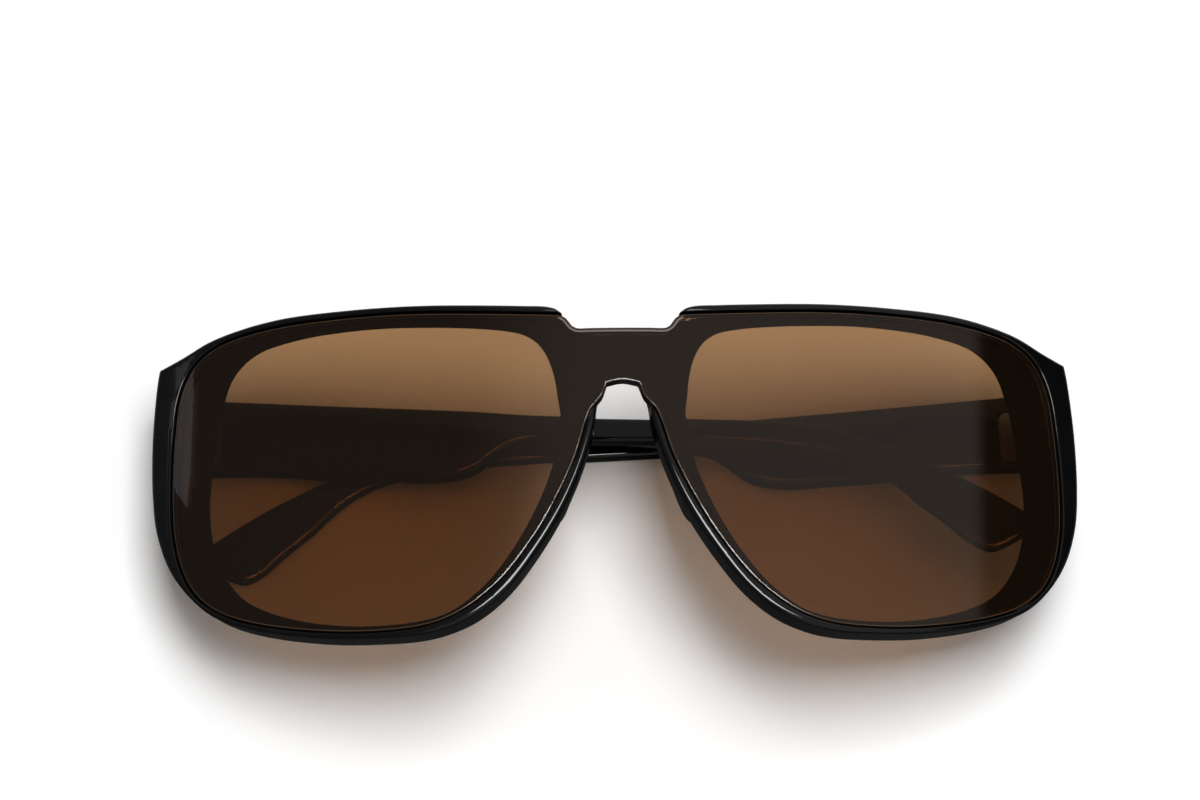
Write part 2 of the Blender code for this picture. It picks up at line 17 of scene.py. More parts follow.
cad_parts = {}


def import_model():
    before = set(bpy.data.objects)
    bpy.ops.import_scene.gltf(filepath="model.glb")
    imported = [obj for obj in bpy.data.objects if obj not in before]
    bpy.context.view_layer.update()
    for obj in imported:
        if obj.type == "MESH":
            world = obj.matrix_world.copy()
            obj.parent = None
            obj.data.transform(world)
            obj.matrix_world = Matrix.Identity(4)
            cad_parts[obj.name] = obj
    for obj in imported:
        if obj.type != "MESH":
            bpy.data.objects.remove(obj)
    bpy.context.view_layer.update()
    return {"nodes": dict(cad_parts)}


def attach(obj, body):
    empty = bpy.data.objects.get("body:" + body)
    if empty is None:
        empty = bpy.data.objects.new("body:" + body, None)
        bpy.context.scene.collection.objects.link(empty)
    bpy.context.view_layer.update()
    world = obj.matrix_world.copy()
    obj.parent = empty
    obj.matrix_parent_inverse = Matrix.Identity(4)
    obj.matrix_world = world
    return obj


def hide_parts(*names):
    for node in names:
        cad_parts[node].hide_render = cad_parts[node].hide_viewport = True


LOG = logging.getLogger("scene")

Point = tuple[float, float]
Loop = list[Point]
Colour = tuple[float, float, float]
Place = Callable[[float, float, float], tuple[float, float, float]]
Rings = list[tuple[Loop, float]]
Source = Union[bpy.types.NodeSocket, bpy.types.Material, float, Sequence[float]]

NOISE_SPAN = (0.3, 0.7)
SAFE_BEND = 0.75
SAFE_SLOPE = 0.6
SAFE_REACH = 1.0
SLIGHT_BEND = 1.0
REACH_PASSES = 2
MITER_LIMIT = 1.6
SHORTEST_SPAN = 1e-6
CENTRIPETAL = 0.5
KNUCKLE_SIDES = 64
KNUCKLE_EDGE_STEPS = 3
GROUND = "ground"
GLINT = "glint"
# Strength of the painted highlight line on the lens's front face near its notch, by share of
# glint_inset.
GLINT_BAND = ((0.75, 0.0), (1.0, 1.0), (1.35, 1.0), (1.6, 0.0))


class Side(Enum):
    """Left and right halves of the glasses, with the sign of their X side."""

    RIGHT = 1
    LEFT = -1

    @property
    def prefix(self) -> str:
        """Name prefix of this side's nodes."""
        return "right" if self is Side.RIGHT else "left"


class Half(Enum):
    """The two leaves of a hinge, with the number of their first knuckle."""

    FRONT = 0
    TEMPLE = 1

    @property
    def label(self) -> str:
        """Word for this leaf in its node's name."""
        return self.name.lower()


class Cut(Enum):
    """What a tool does to its target, as the Boolean modifier names it."""

    JOIN = "UNION"
    TAKE = "DIFFERENCE"


@dataclass(frozen=True)
class Sizes:
    """Real sizes in metres that the sub-assemblies share, as in the CAD model."""

    front_reach: float = 0.0800
    wrap_radius: float = 0.1380
    rim_depth: float = 0.0043
    lens_thickness: float = 0.0020
    fit_gap: float = 0.0003
    overrun: float = 0.0040
    corner_inset: float = 0.0004
    endpiece_reach: float = 0.01195
    hinge_offset: float = 0.0015
    tip_clearance: float = 0.0015
    tip_gap: float = 0.0004
    base_thickness: float = 0.0037
    tip_thickness: float = 0.0019
    hinge_margin: float = 0.0010
    hinge_height: float = 0.0086
    knuckle_radius: float = 0.0015
    screw_head_height: float = 0.0007
    leaf_thickness: float = 0.0010
    leaf_proud: float = 0.0003
    leaf_length: float = 0.0050

    @property
    def middle(self) -> float:
        """Height of the front's middle above the zero line of its outlines."""
        heights = [p[1] for p in RIM_SHARES]
        return (max(heights) + min(heights)) / 2 * self.front_reach

    @property
    def lens_floor(self) -> float:
        """Depth of the recess that the lens lies in."""
        return self.lens_thickness + self.fit_gap

    @property
    def outer_offset(self) -> float:
        """Distance from a hinge axis to its temple's outer face, and its level at rest."""
        return self.hinge_offset + self.base_thickness

    @property
    def hinge_half_spacing(self) -> float:
        """Half the distance between the hinge axes."""
        reach = self.wrap_radius * math.sin(self.front_reach / self.wrap_radius)
        return reach - self.corner_inset - self.outer_offset

    @property
    def floor_drop(self) -> float:
        """Height of the lens apex over the table."""
        drop = self.wrap_radius * (1 - math.cos(self.front_reach / self.wrap_radius))
        return drop + self.endpiece_reach + self.outer_offset

    @property
    def temple_reach(self) -> float:
        """Length of a temple from its hinge axis."""
        return 2 * self.hinge_half_spacing - self.tip_clearance

    @property
    def left_tilt(self) -> float:
        """Angle in radians by which the left temple lies folded past square.

        Returns:
            The angle.
        """
        tip = self.hinge_half_spacing - self.tip_clearance
        back = math.sqrt((self.wrap_radius - self.rim_depth) ** 2 - tip ** 2)
        lift = back - self.wrap_radius + self.floor_drop - self.tip_gap - self.tip_thickness
        return math.asin(lift / self.temple_reach)

    @property
    def hinge_low(self) -> float:
        """Lower end of the hinge barrel, along the axis."""
        return TEMPLE_SHARES[-1][1] * self.temple_reach + self.hinge_margin

    @property
    def hinge_high(self) -> float:
        """Upper end of the hinge barrel, along the axis."""
        return self.hinge_low + self.hinge_height

    @property
    def head_room(self) -> float:
        """Height of the room over the barrel for the screw head."""
        return self.fit_gap + self.screw_head_height + self.fit_gap

    @property
    def pocket_floor(self) -> float:
        """Offset of the floor of the pockets that the hinge leaves lie in."""
        return self.hinge_offset - self.leaf_proud + self.leaf_thickness + self.fit_gap


RIM_SHARES = [
    (0.0000, 0.3155), (0.0600, 0.3155), (0.0915, 0.3160), (0.1005, 0.3215), (0.1130, 0.3400),
    (0.1195, 0.3500),
    (0.1300, 0.3581), (0.1475, 0.3638), (0.2000, 0.3681), (0.2812, 0.3744), (0.4188, 0.3856),
    (0.5750, 0.3937), (0.7000, 0.3969), (0.7875, 0.3906), (0.8662, 0.3769), (0.9275, 0.3556),
    (0.9863, 0.3394, 1), (0.9912, 0.3138), (0.9988, 0.2313), (1.0012, 0.1537), (0.9975, 0.0638),
    (0.9863, -0.0125), (0.9575, -0.0900), (0.9213, -0.1456), (0.8675, -0.2013), (0.8175, -0.2337),
    (0.7412, -0.2638), (0.6475, -0.2881), (0.5713, -0.3013), (0.4813, -0.3087), (0.4188, -0.3094),
    (0.3625, -0.3013), (0.3000, -0.2775), (0.2375, -0.2300), (0.1738, -0.1500), (0.1175, -0.0563),
    (0.0788, 0.0356), (0.0563, 0.1175), (0.0537, 0.1450), (0.0488, 0.1700), (0.0375, 0.1962),
    (0.0225, 0.2138), (0.0000, 0.2200),
]
EYE_SHARES = [
    (0.1256, 0.1375), (0.1300, 0.1725), (0.1350, 0.2125), (0.1437, 0.2487), (0.1575, 0.2800),
    (0.1762, 0.3038), (0.2000, 0.3187), (0.2313, 0.3275), (0.2750, 0.3350), (0.4088, 0.3500),
    (0.5312, 0.3588), (0.6825, 0.3575), (0.7750, 0.3412), (0.8238, 0.3050), (0.8488, 0.2475),
    (0.8738, 0.1050), (0.8787, 0.0250), (0.8713, -0.0400), (0.8550, -0.0925), (0.8287, -0.1400),
    (0.7863, -0.1862), (0.7063, -0.2313), (0.6000, -0.2638), (0.5000, -0.2769), (0.4088, -0.2750),
    (0.3500, -0.2600), (0.2850, -0.2138), (0.2250, -0.1400), (0.1675, -0.0350), (0.1381, 0.0500),
]
LENS_SHARES = [
    (0.0000, 0.3148), (0.0600, 0.3148), (0.0895, 0.3152), (0.0980, 0.3205), (0.1095, 0.3370),
    (0.1190, 0.3435),
    (0.1363, 0.3456), (0.2000, 0.3500), (0.2812, 0.3563), (0.4450, 0.3700), (0.5750, 0.3763),
    (0.6937, 0.3788), (0.7875, 0.3731), (0.8488, 0.3606), (0.8925, 0.3362), (0.9200, 0.3006),
    (0.9363, 0.2550), (0.9437, 0.1938), (0.9475, 0.1313), (0.9475, 0.0375), (0.9400, -0.0400),
    (0.9175, -0.1150), (0.8825, -0.1700), (0.8313, -0.2112), (0.7600, -0.2437), (0.6500, -0.2737),
    (0.5250, -0.2925), (0.4062, -0.2919), (0.3400, -0.2737), (0.2600, -0.2200), (0.1900, -0.1363),
    (0.1350, -0.0437), (0.0975, 0.0387), (0.0738, 0.1163), (0.0625, 0.1425), (0.0525, 0.1537),
    (0.0425, 0.1650), (0.0312, 0.1950, 1), (0.0000, 0.2013),
]
PAD_SHARES = [
    (0.1120, 0.0900), (0.0930, 0.0850), (0.0870, 0.0600), (0.0960, 0.0150), (0.1120, -0.0350),
    (0.1310, -0.0700), (0.1500, -0.0760), (0.1590, -0.0600), (0.1510, -0.0250), (0.1350, 0.0300),
    (0.1250, 0.0700),
]
TEMPLE_SHARES = [
    (-0.0014, 0.1985, 1), (0.0470, 0.1942), (0.1600, 0.1838), (0.2888, 0.1726), (0.4404, 0.1596),
    (0.5848, 0.1502), (0.7191, 0.1394), (0.7581, 0.1321), (0.8043, 0.1155), (0.8339, 0.1032),
    (0.8664, 0.0866), (0.9191, 0.0585), (0.9700, 0.0260), (0.9935, 0.0080), (0.9985, 0.0000),
    (0.9930, -0.0080), (0.9560, -0.0295), (0.9422, -0.0318), (0.9206, -0.0202),
    (0.8950, 0.0040), (0.8664, 0.0282), (0.8303, 0.0635), (0.8014, 0.0830), (0.7726, 0.0953),
    (0.7250, 0.1060), (0.6570, 0.1162), (0.5487, 0.1235), (0.4549, 0.1278), (0.4159, 0.1300),
    (0.3856, 0.1256), (0.3646, 0.1126), (0.3394, 0.0931), (0.2996, 0.0845), (0.2383, 0.0881),
    (0.1733, 0.0924), (0.0939, 0.1011), (0.0361, 0.1033), (-0.0014, 0.1042, 1),
]


@dataclass(frozen=True)
class Outline:
    """Closed smooth outline through a table of shares of one size.

    Args:
        shares: Points as shares of the size; a third value marks a sharp corner.
        size: The size that the shares follow, in metres.
        half: True where the table holds the right half only.
        step: Distance between the outline's points, in metres.
    """

    shares: Sequence[tuple]
    size: float
    half: bool = False
    step: float = 0.0009

    def loop(self) -> Loop:
        """Return the outline's points, anticlockwise.

        Returns:
            The loop.
        """
        points = [(p[0] * self.size, p[1] * self.size, len(p) > 2) for p in self.shares]
        if self.half:
            points += [(-x, y, sharp) for x, y, sharp in points[1:-1]][::-1]
        return turned_ccw(smooth_loop(points, self.step))


def curve_point(p0: Point, p1: Point, p2: Point, p3: Point, t: float) -> Point:
    """Return the point at share t between p1 and p2 on the centripetal curve.

    Args:
        p0: The point before p1.
        p1: Start of the span.
        p2: End of the span.
        p3: The point after p2.
        t: Share of the way from p1 to p2.

    Returns:
        The point.
    """
    knots = [0.0]
    for a, b in ((p0, p1), (p1, p2), (p2, p3)):
        knots.append(knots[-1] + max(math.dist(a, b), SHORTEST_SPAN) ** CENTRIPETAL)
    k0, k1, k2, k3 = knots
    k = k1 + (k2 - k1) * t

    def mix(a: Point, b: Point, ka: float, kb: float) -> Point:
        """Return the point between two others at the curve's knot k."""
        f = (k - ka) / (kb - ka)
        return (a[0] + (b[0] - a[0]) * f, a[1] + (b[1] - a[1]) * f)

    a1, a2, a3 = mix(p0, p1, k0, k1), mix(p1, p2, k1, k2), mix(p2, p3, k2, k3)
    return mix(mix(a1, a2, k0, k2), mix(a2, a3, k1, k3), k1, k2)


def smooth_loop(points: Sequence[tuple], step: float) -> Loop:
    """Return a closed smooth loop through points, straight on to its sharp corners.

    Args:
        points: Points of (x, y, sharp).
        step: Distance between the loop's points.

    Returns:
        The loop.
    """
    loop: Loop = []
    total = len(points)
    for i in range(total):
        p1, p2 = points[i], points[(i + 1) % total]
        start = (2 * p1[0] - p2[0], 2 * p1[1] - p2[1]) if p1[2] else points[i - 1][:2]
        end = (2 * p2[0] - p1[0], 2 * p2[1] - p1[1]) if p2[2] else points[(i + 2) % total][:2]
        pieces = max(1, round(math.dist(p1[:2], p2[:2]) / step))
        for j in range(pieces):
            loop.append(curve_point(start, p1[:2], p2[:2], end, j / pieces))
    return loop


def turned_ccw(loop: Loop) -> Loop:
    """Return the loop in anticlockwise order."""
    area = sum(a[0] * b[1] - b[0] * a[1] for a, b in zip(loop, loop[1:] + loop[:1]))
    return loop if area > 0 else loop[::-1]


def reach_limits(loop: Loop, way: float) -> list[float]:
    """Return how far each point of a loop can move before its neighbours cross.

    Args:
        loop: Anticlockwise outline.
        way: Positive where the points move inwards, negative where they move outwards.

    Returns:
        One distance for each point.
    """
    total = len(loop)
    lengths = [math.dist(loop[i], loop[(i + 1) % total]) for i in range(total)]
    limits = []
    for i in range(total):
        before = Vector(loop[i]) - Vector(loop[i - 1])
        after = Vector(loop[(i + 1) % total]) - Vector(loop[i])
        turn = math.atan2(before.x * after.y - before.y * after.x, before.dot(after))
        bent = turn * (1 if way > 0 else -1) / ((lengths[i - 1] + lengths[i]) / 2)
        limits.append(SAFE_BEND / bent if bent > SLIGHT_BEND else SAFE_REACH)
    for _ in range(REACH_PASSES):
        for i in range(total):
            limits[i] = min(limits[i], limits[i - 1] + SAFE_SLOPE * lengths[i - 1])
        for i in range(total - 1, -1, -1):
            limits[i] = min(limits[i], limits[(i + 1) % total] + SAFE_SLOPE * lengths[i])
    return limits


def inset(loop: Loop, distance: float) -> Loop:
    """Return an anticlockwise loop moved inwards, or outwards by a negative distance.

    Args:
        loop: The loop.
        distance: How far it moves.

    Returns:
        The moved loop, with as many points.
    """
    if not distance:
        return list(loop)
    moved: Loop = []
    total = len(loop)
    limits = reach_limits(loop, distance)
    for i in range(total):
        before = Vector(loop[i]) - Vector(loop[i - 1])
        after = Vector(loop[(i + 1) % total]) - Vector(loop[i])
        n1 = Vector((-before.y, before.x)).normalized()
        n2 = Vector((-after.y, after.x)).normalized()
        both = n1 + n2
        miter = both * (2 / max(both.length_squared, MITER_LIMIT))
        step = math.copysign(min(abs(distance), limits[i]), distance)
        moved.append((loop[i][0] + miter.x * step, loop[i][1] + miter.y * step))
    return moved


def quarter(radius: float, steps: int = 5) -> list[Point]:
    """Return the points of a quarter round, each as its way from the wall and from the face.

    Args:
        radius: Radius of the round.
        steps: Number of points less one.

    Returns:
        Pairs of distances, from the wall's end of the round to the face's.
    """
    turns = [math.pi / 2 * k / steps for k in range(steps + 1)]
    return [(radius * (1 - math.cos(turn)), radius * (1 - math.sin(turn))) for turn in turns]


def rounded(loop: Loop, level: float, radius: float, way: int, steps: int = 5) -> Rings:
    """Return rings that round a body's edge at a level.

    Args:
        loop: Outline of the body's wall.
        level: Level of the flat face that the edge meets.
        radius: Radius of the edge.
        way: 1 where the face is the upper one, -1 where it is the lower one.
        steps: Number of rings less one.

    Returns:
        Rings of (loop, level), from the lower to the upper.
    """
    rings = [(inset(loop, side), level - way * rise) for side, rise in quarter(radius, steps)]
    return rings if way > 0 else rings[::-1]


def flat_place(x: float, y: float, level: float) -> tuple[float, float, float]:
    """Return a point as it is, its level along Z."""
    return (x, y, level)


def upright_place(x: float, z: float, level: float) -> tuple[float, float, float]:
    """Return a point of an outline seen from above, its level along Y."""
    return (x, level, z)


class NodeMaker:
    """Adds nodes to a tree and links them."""

    def __init__(self, tree: bpy.types.NodeTree) -> None:
        """Keep the tree."""
        self.tree = tree

    def node(self, kind: str, links: Optional[dict] = None, **values: Any) -> bpy.types.Node:
        """Add a node, set its attributes and link or set its inputs.

        Args:
            kind: The node's type.
            links: Its inputs, by name or number, as sockets or plain values.
            **values: Its attributes.

        Returns:
            The node.
        """
        node = self.tree.nodes.new(kind)
        for key, value in values.items():
            setattr(node, key, value)
        for key, source in (links or {}).items():
            self.put(source, node.inputs[key])
        return node

    def put(self, source: Source, target: bpy.types.NodeSocket) -> None:
        """Link a socket to an input, or set the input to a plain value.

        Args:
            source: The socket or value.
            target: The input.
        """
        if isinstance(source, bpy.types.NodeSocket):
            self.tree.links.new(source, target)
        else:
            target.default_value = source

    def math(self, operation: str, *values: Source, clamp: bool = False) -> bpy.types.NodeSocket:
        """Return the result of a Math node on sockets or values.

        Args:
            operation: The node's operation.
            *values: Its inputs in order.
            clamp: True where the result stays between 0 and 1.

        Returns:
            The result.
        """
        links = dict(enumerate(values))
        return self.node("ShaderNodeMath", links, operation=operation, use_clamp=clamp).outputs[0]


class Graph(NodeMaker):
    """Small helper that builds a Geometry Nodes tree with named inputs."""

    SOCKETS = {
        float: "NodeSocketFloat",
        int: "NodeSocketInt",
        bpy.types.Material: "NodeSocketMaterial",
    }

    def __init__(self, name: str, inputs: dict[str, type]) -> None:
        """Start a tree.

        Args:
            name: Name of the tree.
            inputs: The names of its inputs after the geometry, with their types.
        """
        super().__init__(bpy.data.node_groups.new(name, "GeometryNodeTree"))
        face = self.tree.interface
        face.new_socket("Geometry", in_out="INPUT", socket_type="NodeSocketGeometry")
        for label, kind in inputs.items():
            face.new_socket(label, in_out="INPUT", socket_type=self.SOCKETS[kind])
        face.new_socket("Geometry", in_out="OUTPUT", socket_type="NodeSocketGeometry")
        self.inputs = self.tree.nodes.new("NodeGroupInput").outputs
        self.result = self.tree.nodes.new("NodeGroupOutput").inputs["Geometry"]

    def close(self, geometry: bpy.types.NodeSocket) -> None:
        """Realize what the tree made, give it its material and pass it out.

        Args:
            geometry: What the tree made.
        """
        real = self.node("GeometryNodeRealizeInstances", {"Geometry": geometry})
        dressed = self.node("GeometryNodeSetMaterial", {
            "Geometry": real.outputs["Geometry"], "Material": self.inputs["Finish"]})
        self.tree.links.new(dressed.outputs["Geometry"], self.result)


def wrap_tree() -> bpy.types.NodeTree:
    """Return the graph that wraps a flat body round the front's upright axis.

    Returns:
        The tree.
    """
    graph = Graph("wrap", {"Wrap Radius": float, "Middle Height": float, "Floor Drop": float,
                           "Finish": bpy.types.Material})
    radius = graph.inputs["Wrap Radius"]
    place = graph.node("GeometryNodeInputPosition").outputs["Position"]
    x, y, z = graph.node("ShaderNodeSeparateXYZ", {0: place}).outputs
    angle = graph.math("DIVIDE", x, radius)
    reach = graph.math("ADD", radius, z)
    back = graph.math("MULTIPLY", reach, graph.math("COSINE", angle))
    depth = graph.math("SUBTRACT", back, radius)
    moved = graph.node("ShaderNodeCombineXYZ", {
        "X": graph.math("MULTIPLY", reach, graph.math("SINE", angle)),
        "Y": graph.math("SUBTRACT", y, graph.inputs["Middle Height"]),
        "Z": graph.math("ADD", depth, graph.inputs["Floor Drop"])})
    wrapped = graph.node("GeometryNodeSetPosition", {
        "Geometry": graph.inputs["Geometry"], "Position": moved.outputs["Vector"]})
    graph.close(wrapped.outputs["Geometry"])
    return graph.tree


def knuckle_tree() -> bpy.types.NodeTree:
    """Return the graph that stands a hinge leaf's knuckles in a row along Y.

    Returns:
        The tree.
    """
    graph = Graph("knuckles", {"Count": int, "First": float, "Pitch": float, "Height": float,
                               "Bore Radius": float, "Outer Radius": float, "Edge Round": float,
                               "Finish": bpy.types.Material})
    bore, outer = graph.inputs["Bore Radius"], graph.inputs["Outer Radius"]
    wall = graph.node("GeometryNodeCurvePrimitiveQuadrilateral", {
        "Width": graph.math("SUBTRACT", outer, bore), "Height": graph.inputs["Height"]})
    soft = graph.node("GeometryNodeFilletCurve", {
        "Curve": wall.outputs["Curve"], "Radius": graph.inputs["Edge Round"],
        "Count": KNUCKLE_EDGE_STEPS},
        mode="POLY")
    middle = graph.math("MULTIPLY", graph.math("ADD", outer, bore), 0.5)
    ring = graph.node("GeometryNodeCurvePrimitiveCircle", {
        "Resolution": KNUCKLE_SIDES, "Radius": middle})
    tube = graph.node("GeometryNodeCurveToMesh", {
        "Curve": ring.outputs["Curve"], "Profile Curve": soft.outputs["Curve"]})
    start = graph.node("ShaderNodeCombineXYZ", {"Y": graph.inputs["First"]})
    step = graph.node("ShaderNodeCombineXYZ", {"Y": graph.inputs["Pitch"]})
    row = graph.node("GeometryNodeMeshLine", {
        "Count": graph.inputs["Count"], "Start Location": start.outputs["Vector"],
        "Offset": step.outputs["Vector"]})
    knuckles = graph.node("GeometryNodeInstanceOnPoints", {
        "Points": row.outputs["Mesh"], "Instance": tube.outputs["Mesh"],
        "Rotation": (math.pi / 2, 0.0, 0.0)})
    graph.close(knuckles.outputs["Instances"])
    return graph.tree


class Shaper:
    """Makes, cuts and finishes closed meshes."""

    MERGE = 6e-5

    def __init__(self) -> None:
        """Keep the collection that the pieces go into."""
        self.collection = bpy.context.scene.collection

    def add(self, name: str, mesh: bpy.types.Mesh) -> bpy.types.Object:
        """Link a mesh as an object.

        Args:
            name: Name of the object.
            mesh: The mesh.

        Returns:
            The object.
        """
        obj = bpy.data.objects.new(name, mesh)
        self.collection.objects.link(obj)
        return obj

    @staticmethod
    def outwards(bm: bmesh.types.BMesh) -> None:
        """Turn a closed body's faces outwards.

        Args:
            bm: The body.
        """
        bm.normal_update()
        if bm.calc_volume(signed=True) < 0:
            bmesh.ops.reverse_faces(bm, faces=bm.faces)

    def loft(self, name: str, rings: Rings, place: Place) -> bpy.types.Object:
        """Return a closed body through rings.

        Args:
            name: Name of the body.
            rings: Rings of (loop, level), all with as many points, from end to end.
            place: The function that places each point.

        Returns:
            The body.
        """
        bm = bmesh.new()
        layers = [[bm.verts.new(place(x, y, level)) for x, y in loop] for loop, level in rings]
        count = len(layers[0])
        for low, high in zip(layers, layers[1:]):
            for i in range(count):
                j = (i + 1) % count
                bm.faces.new((low[i], low[j], high[j], high[i]))
        bm.faces.new(layers[0][::-1])
        bm.faces.new(layers[-1])
        self.outwards(bm)
        mesh = bpy.data.meshes.new(name)
        bm.to_mesh(mesh)
        bm.free()
        return self.add(name, mesh)

    @staticmethod
    def mark(obj: bpy.types.Object, name: str, values: Sequence[float]) -> None:
        """Store one value for each point of a mesh, for its material to read.

        Args:
            obj: The object.
            name: Name of the attribute.
            values: One value a point.
        """
        attribute = obj.data.attributes.new(name, "FLOAT", "POINT")
        attribute.data.foreach_set("value", values)

    def applied(self, obj: bpy.types.Object) -> bpy.types.Object:
        """Replace an object's mesh by what its modifiers make of it.

        Args:
            obj: The object.

        Returns:
            The same object, without modifiers.
        """
        bpy.context.view_layer.update()
        graph = bpy.context.evaluated_depsgraph_get()
        mesh = bpy.data.meshes.new_from_object(obj.evaluated_get(graph))
        obj.modifiers.clear()
        old = obj.data
        obj.data = mesh
        bpy.data.meshes.remove(old)
        return obj

    def combine(self, target: bpy.types.Object, tool: bpy.types.Object, way: Cut) -> None:
        """Join or cut a target with a tool, which is removed.

        Args:
            target: The body that changes.
            tool: The body that is joined to it or taken from it.
            way: Whether it is joined or taken.
        """
        modifier = target.modifiers.new("combine", "BOOLEAN")
        modifier.operation = way.value
        modifier.solver = "EXACT"
        modifier.object = tool
        self.applied(target)
        bpy.data.objects.remove(tool, do_unlink=True)

    def grown(self, obj: bpy.types.Object, tree: bpy.types.NodeTree, values: dict) -> bpy.types.Object:
        """Put an object through a Geometry Nodes tree and keep the plain mesh.

        Args:
            obj: The object.
            tree: The tree.
            values: The tree's inputs, by name.

        Returns:
            The same object.
        """
        modifier = obj.modifiers.new(tree.name, "NODES")
        modifier.node_group = tree
        for item in tree.interface.items_tree:
            if item.in_out == "INPUT" and item.name in values:
                modifier[item.identifier] = values[item.name]
        return self.applied(obj)

    def strips(self, obj: bpy.types.Object, places: Iterable[float], move: Place = flat_place) -> None:
        """Cut a flat body across X and move every point.

        Args:
            obj: The body.
            places: The cuts' places along X.
            move: The function that moves each point.
        """
        bm = bmesh.new()
        bm.from_mesh(obj.data)
        bmesh.ops.triangulate(bm, faces=bm.faces, ngon_method="BEAUTY")
        for place in places:
            everything = bm.verts[:] + bm.edges[:] + bm.faces[:]
            bmesh.ops.bisect_plane(bm, geom=everything, dist=self.MERGE, plane_co=(place, 0, 0),
                                   plane_no=(1, 0, 0))
        bmesh.ops.triangulate(bm, faces=bm.faces, ngon_method="BEAUTY")
        for vertex in bm.verts:
            vertex.co = move(*vertex.co)
        self.outwards(bm)
        bm.to_mesh(obj.data)
        bm.free()

    def move(self, obj: bpy.types.Object, move: Place) -> None:
        """Move every point of a mesh by a function.

        Args:
            obj: The object.
            move: The function.
        """
        bm = bmesh.new()
        bm.from_mesh(obj.data)
        for vertex in bm.verts:
            vertex.co = move(*vertex.co)
        self.outwards(bm)
        bm.to_mesh(obj.data)
        bm.free()

    def finish(self, obj: bpy.types.Object, name: str, material: bpy.types.Material,
               sharp_deg: float = 30) -> bpy.types.Object:
        """Name a piece, shade it smooth between its sharp edges and give it its material.

        Args:
            obj: The piece.
            name: Its name.
            material: Its material.
            sharp_deg: Angle in degrees from which an edge stays sharp.

        Returns:
            The same piece.
        """
        obj.name = name
        obj.data.materials.clear()
        obj.data.materials.append(material)
        for polygon in obj.data.polygons:
            polygon.material_index = 0
        obj.data.shade_smooth()
        obj.data.set_sharp_from_angle(angle=math.radians(sharp_deg))
        modifier = obj.modifiers.new("normals", "WEIGHTED_NORMAL")
        modifier.mode = "FACE_AREA_WITH_ANGLE"
        modifier.keep_sharp = True
        self.applied(obj)
        obj.data.name = name
        return obj

    def rod(self, name: str, centre: Point, radius: float, low: float, high: float,
            sides: int = 64) -> bpy.types.Object:
        """Return a round rod along Y, its centre given as (x, z).

        Args:
            name: Name of the rod.
            centre: Its centre as (x, z).
            radius: Its radius.
            low: Its lower end.
            high: Its upper end.
            sides: Number of its sides.

        Returns:
            The rod.
        """
        turns = [2 * math.pi * (i + 0.5) / sides for i in range(sides)]
        loop = [(centre[0] + radius * math.cos(turn), centre[1] + radius * math.sin(turn))
                for turn in turns]
        return self.loft(name, [(loop, low), (loop, high)], upright_place)

    def block(self, name: str, low: Sequence[float], high: Sequence[float]) -> bpy.types.Object:
        """Return a box between two corners.

        Args:
            name: Name of the box.
            low: Its low corner.
            high: Its high corner.

        Returns:
            The box.
        """
        loop = [(low[0], low[1]), (high[0], low[1]), (high[0], high[1]), (low[0], high[1])]
        return self.loft(name, [(loop, low[2]), (loop, high[2])], flat_place)


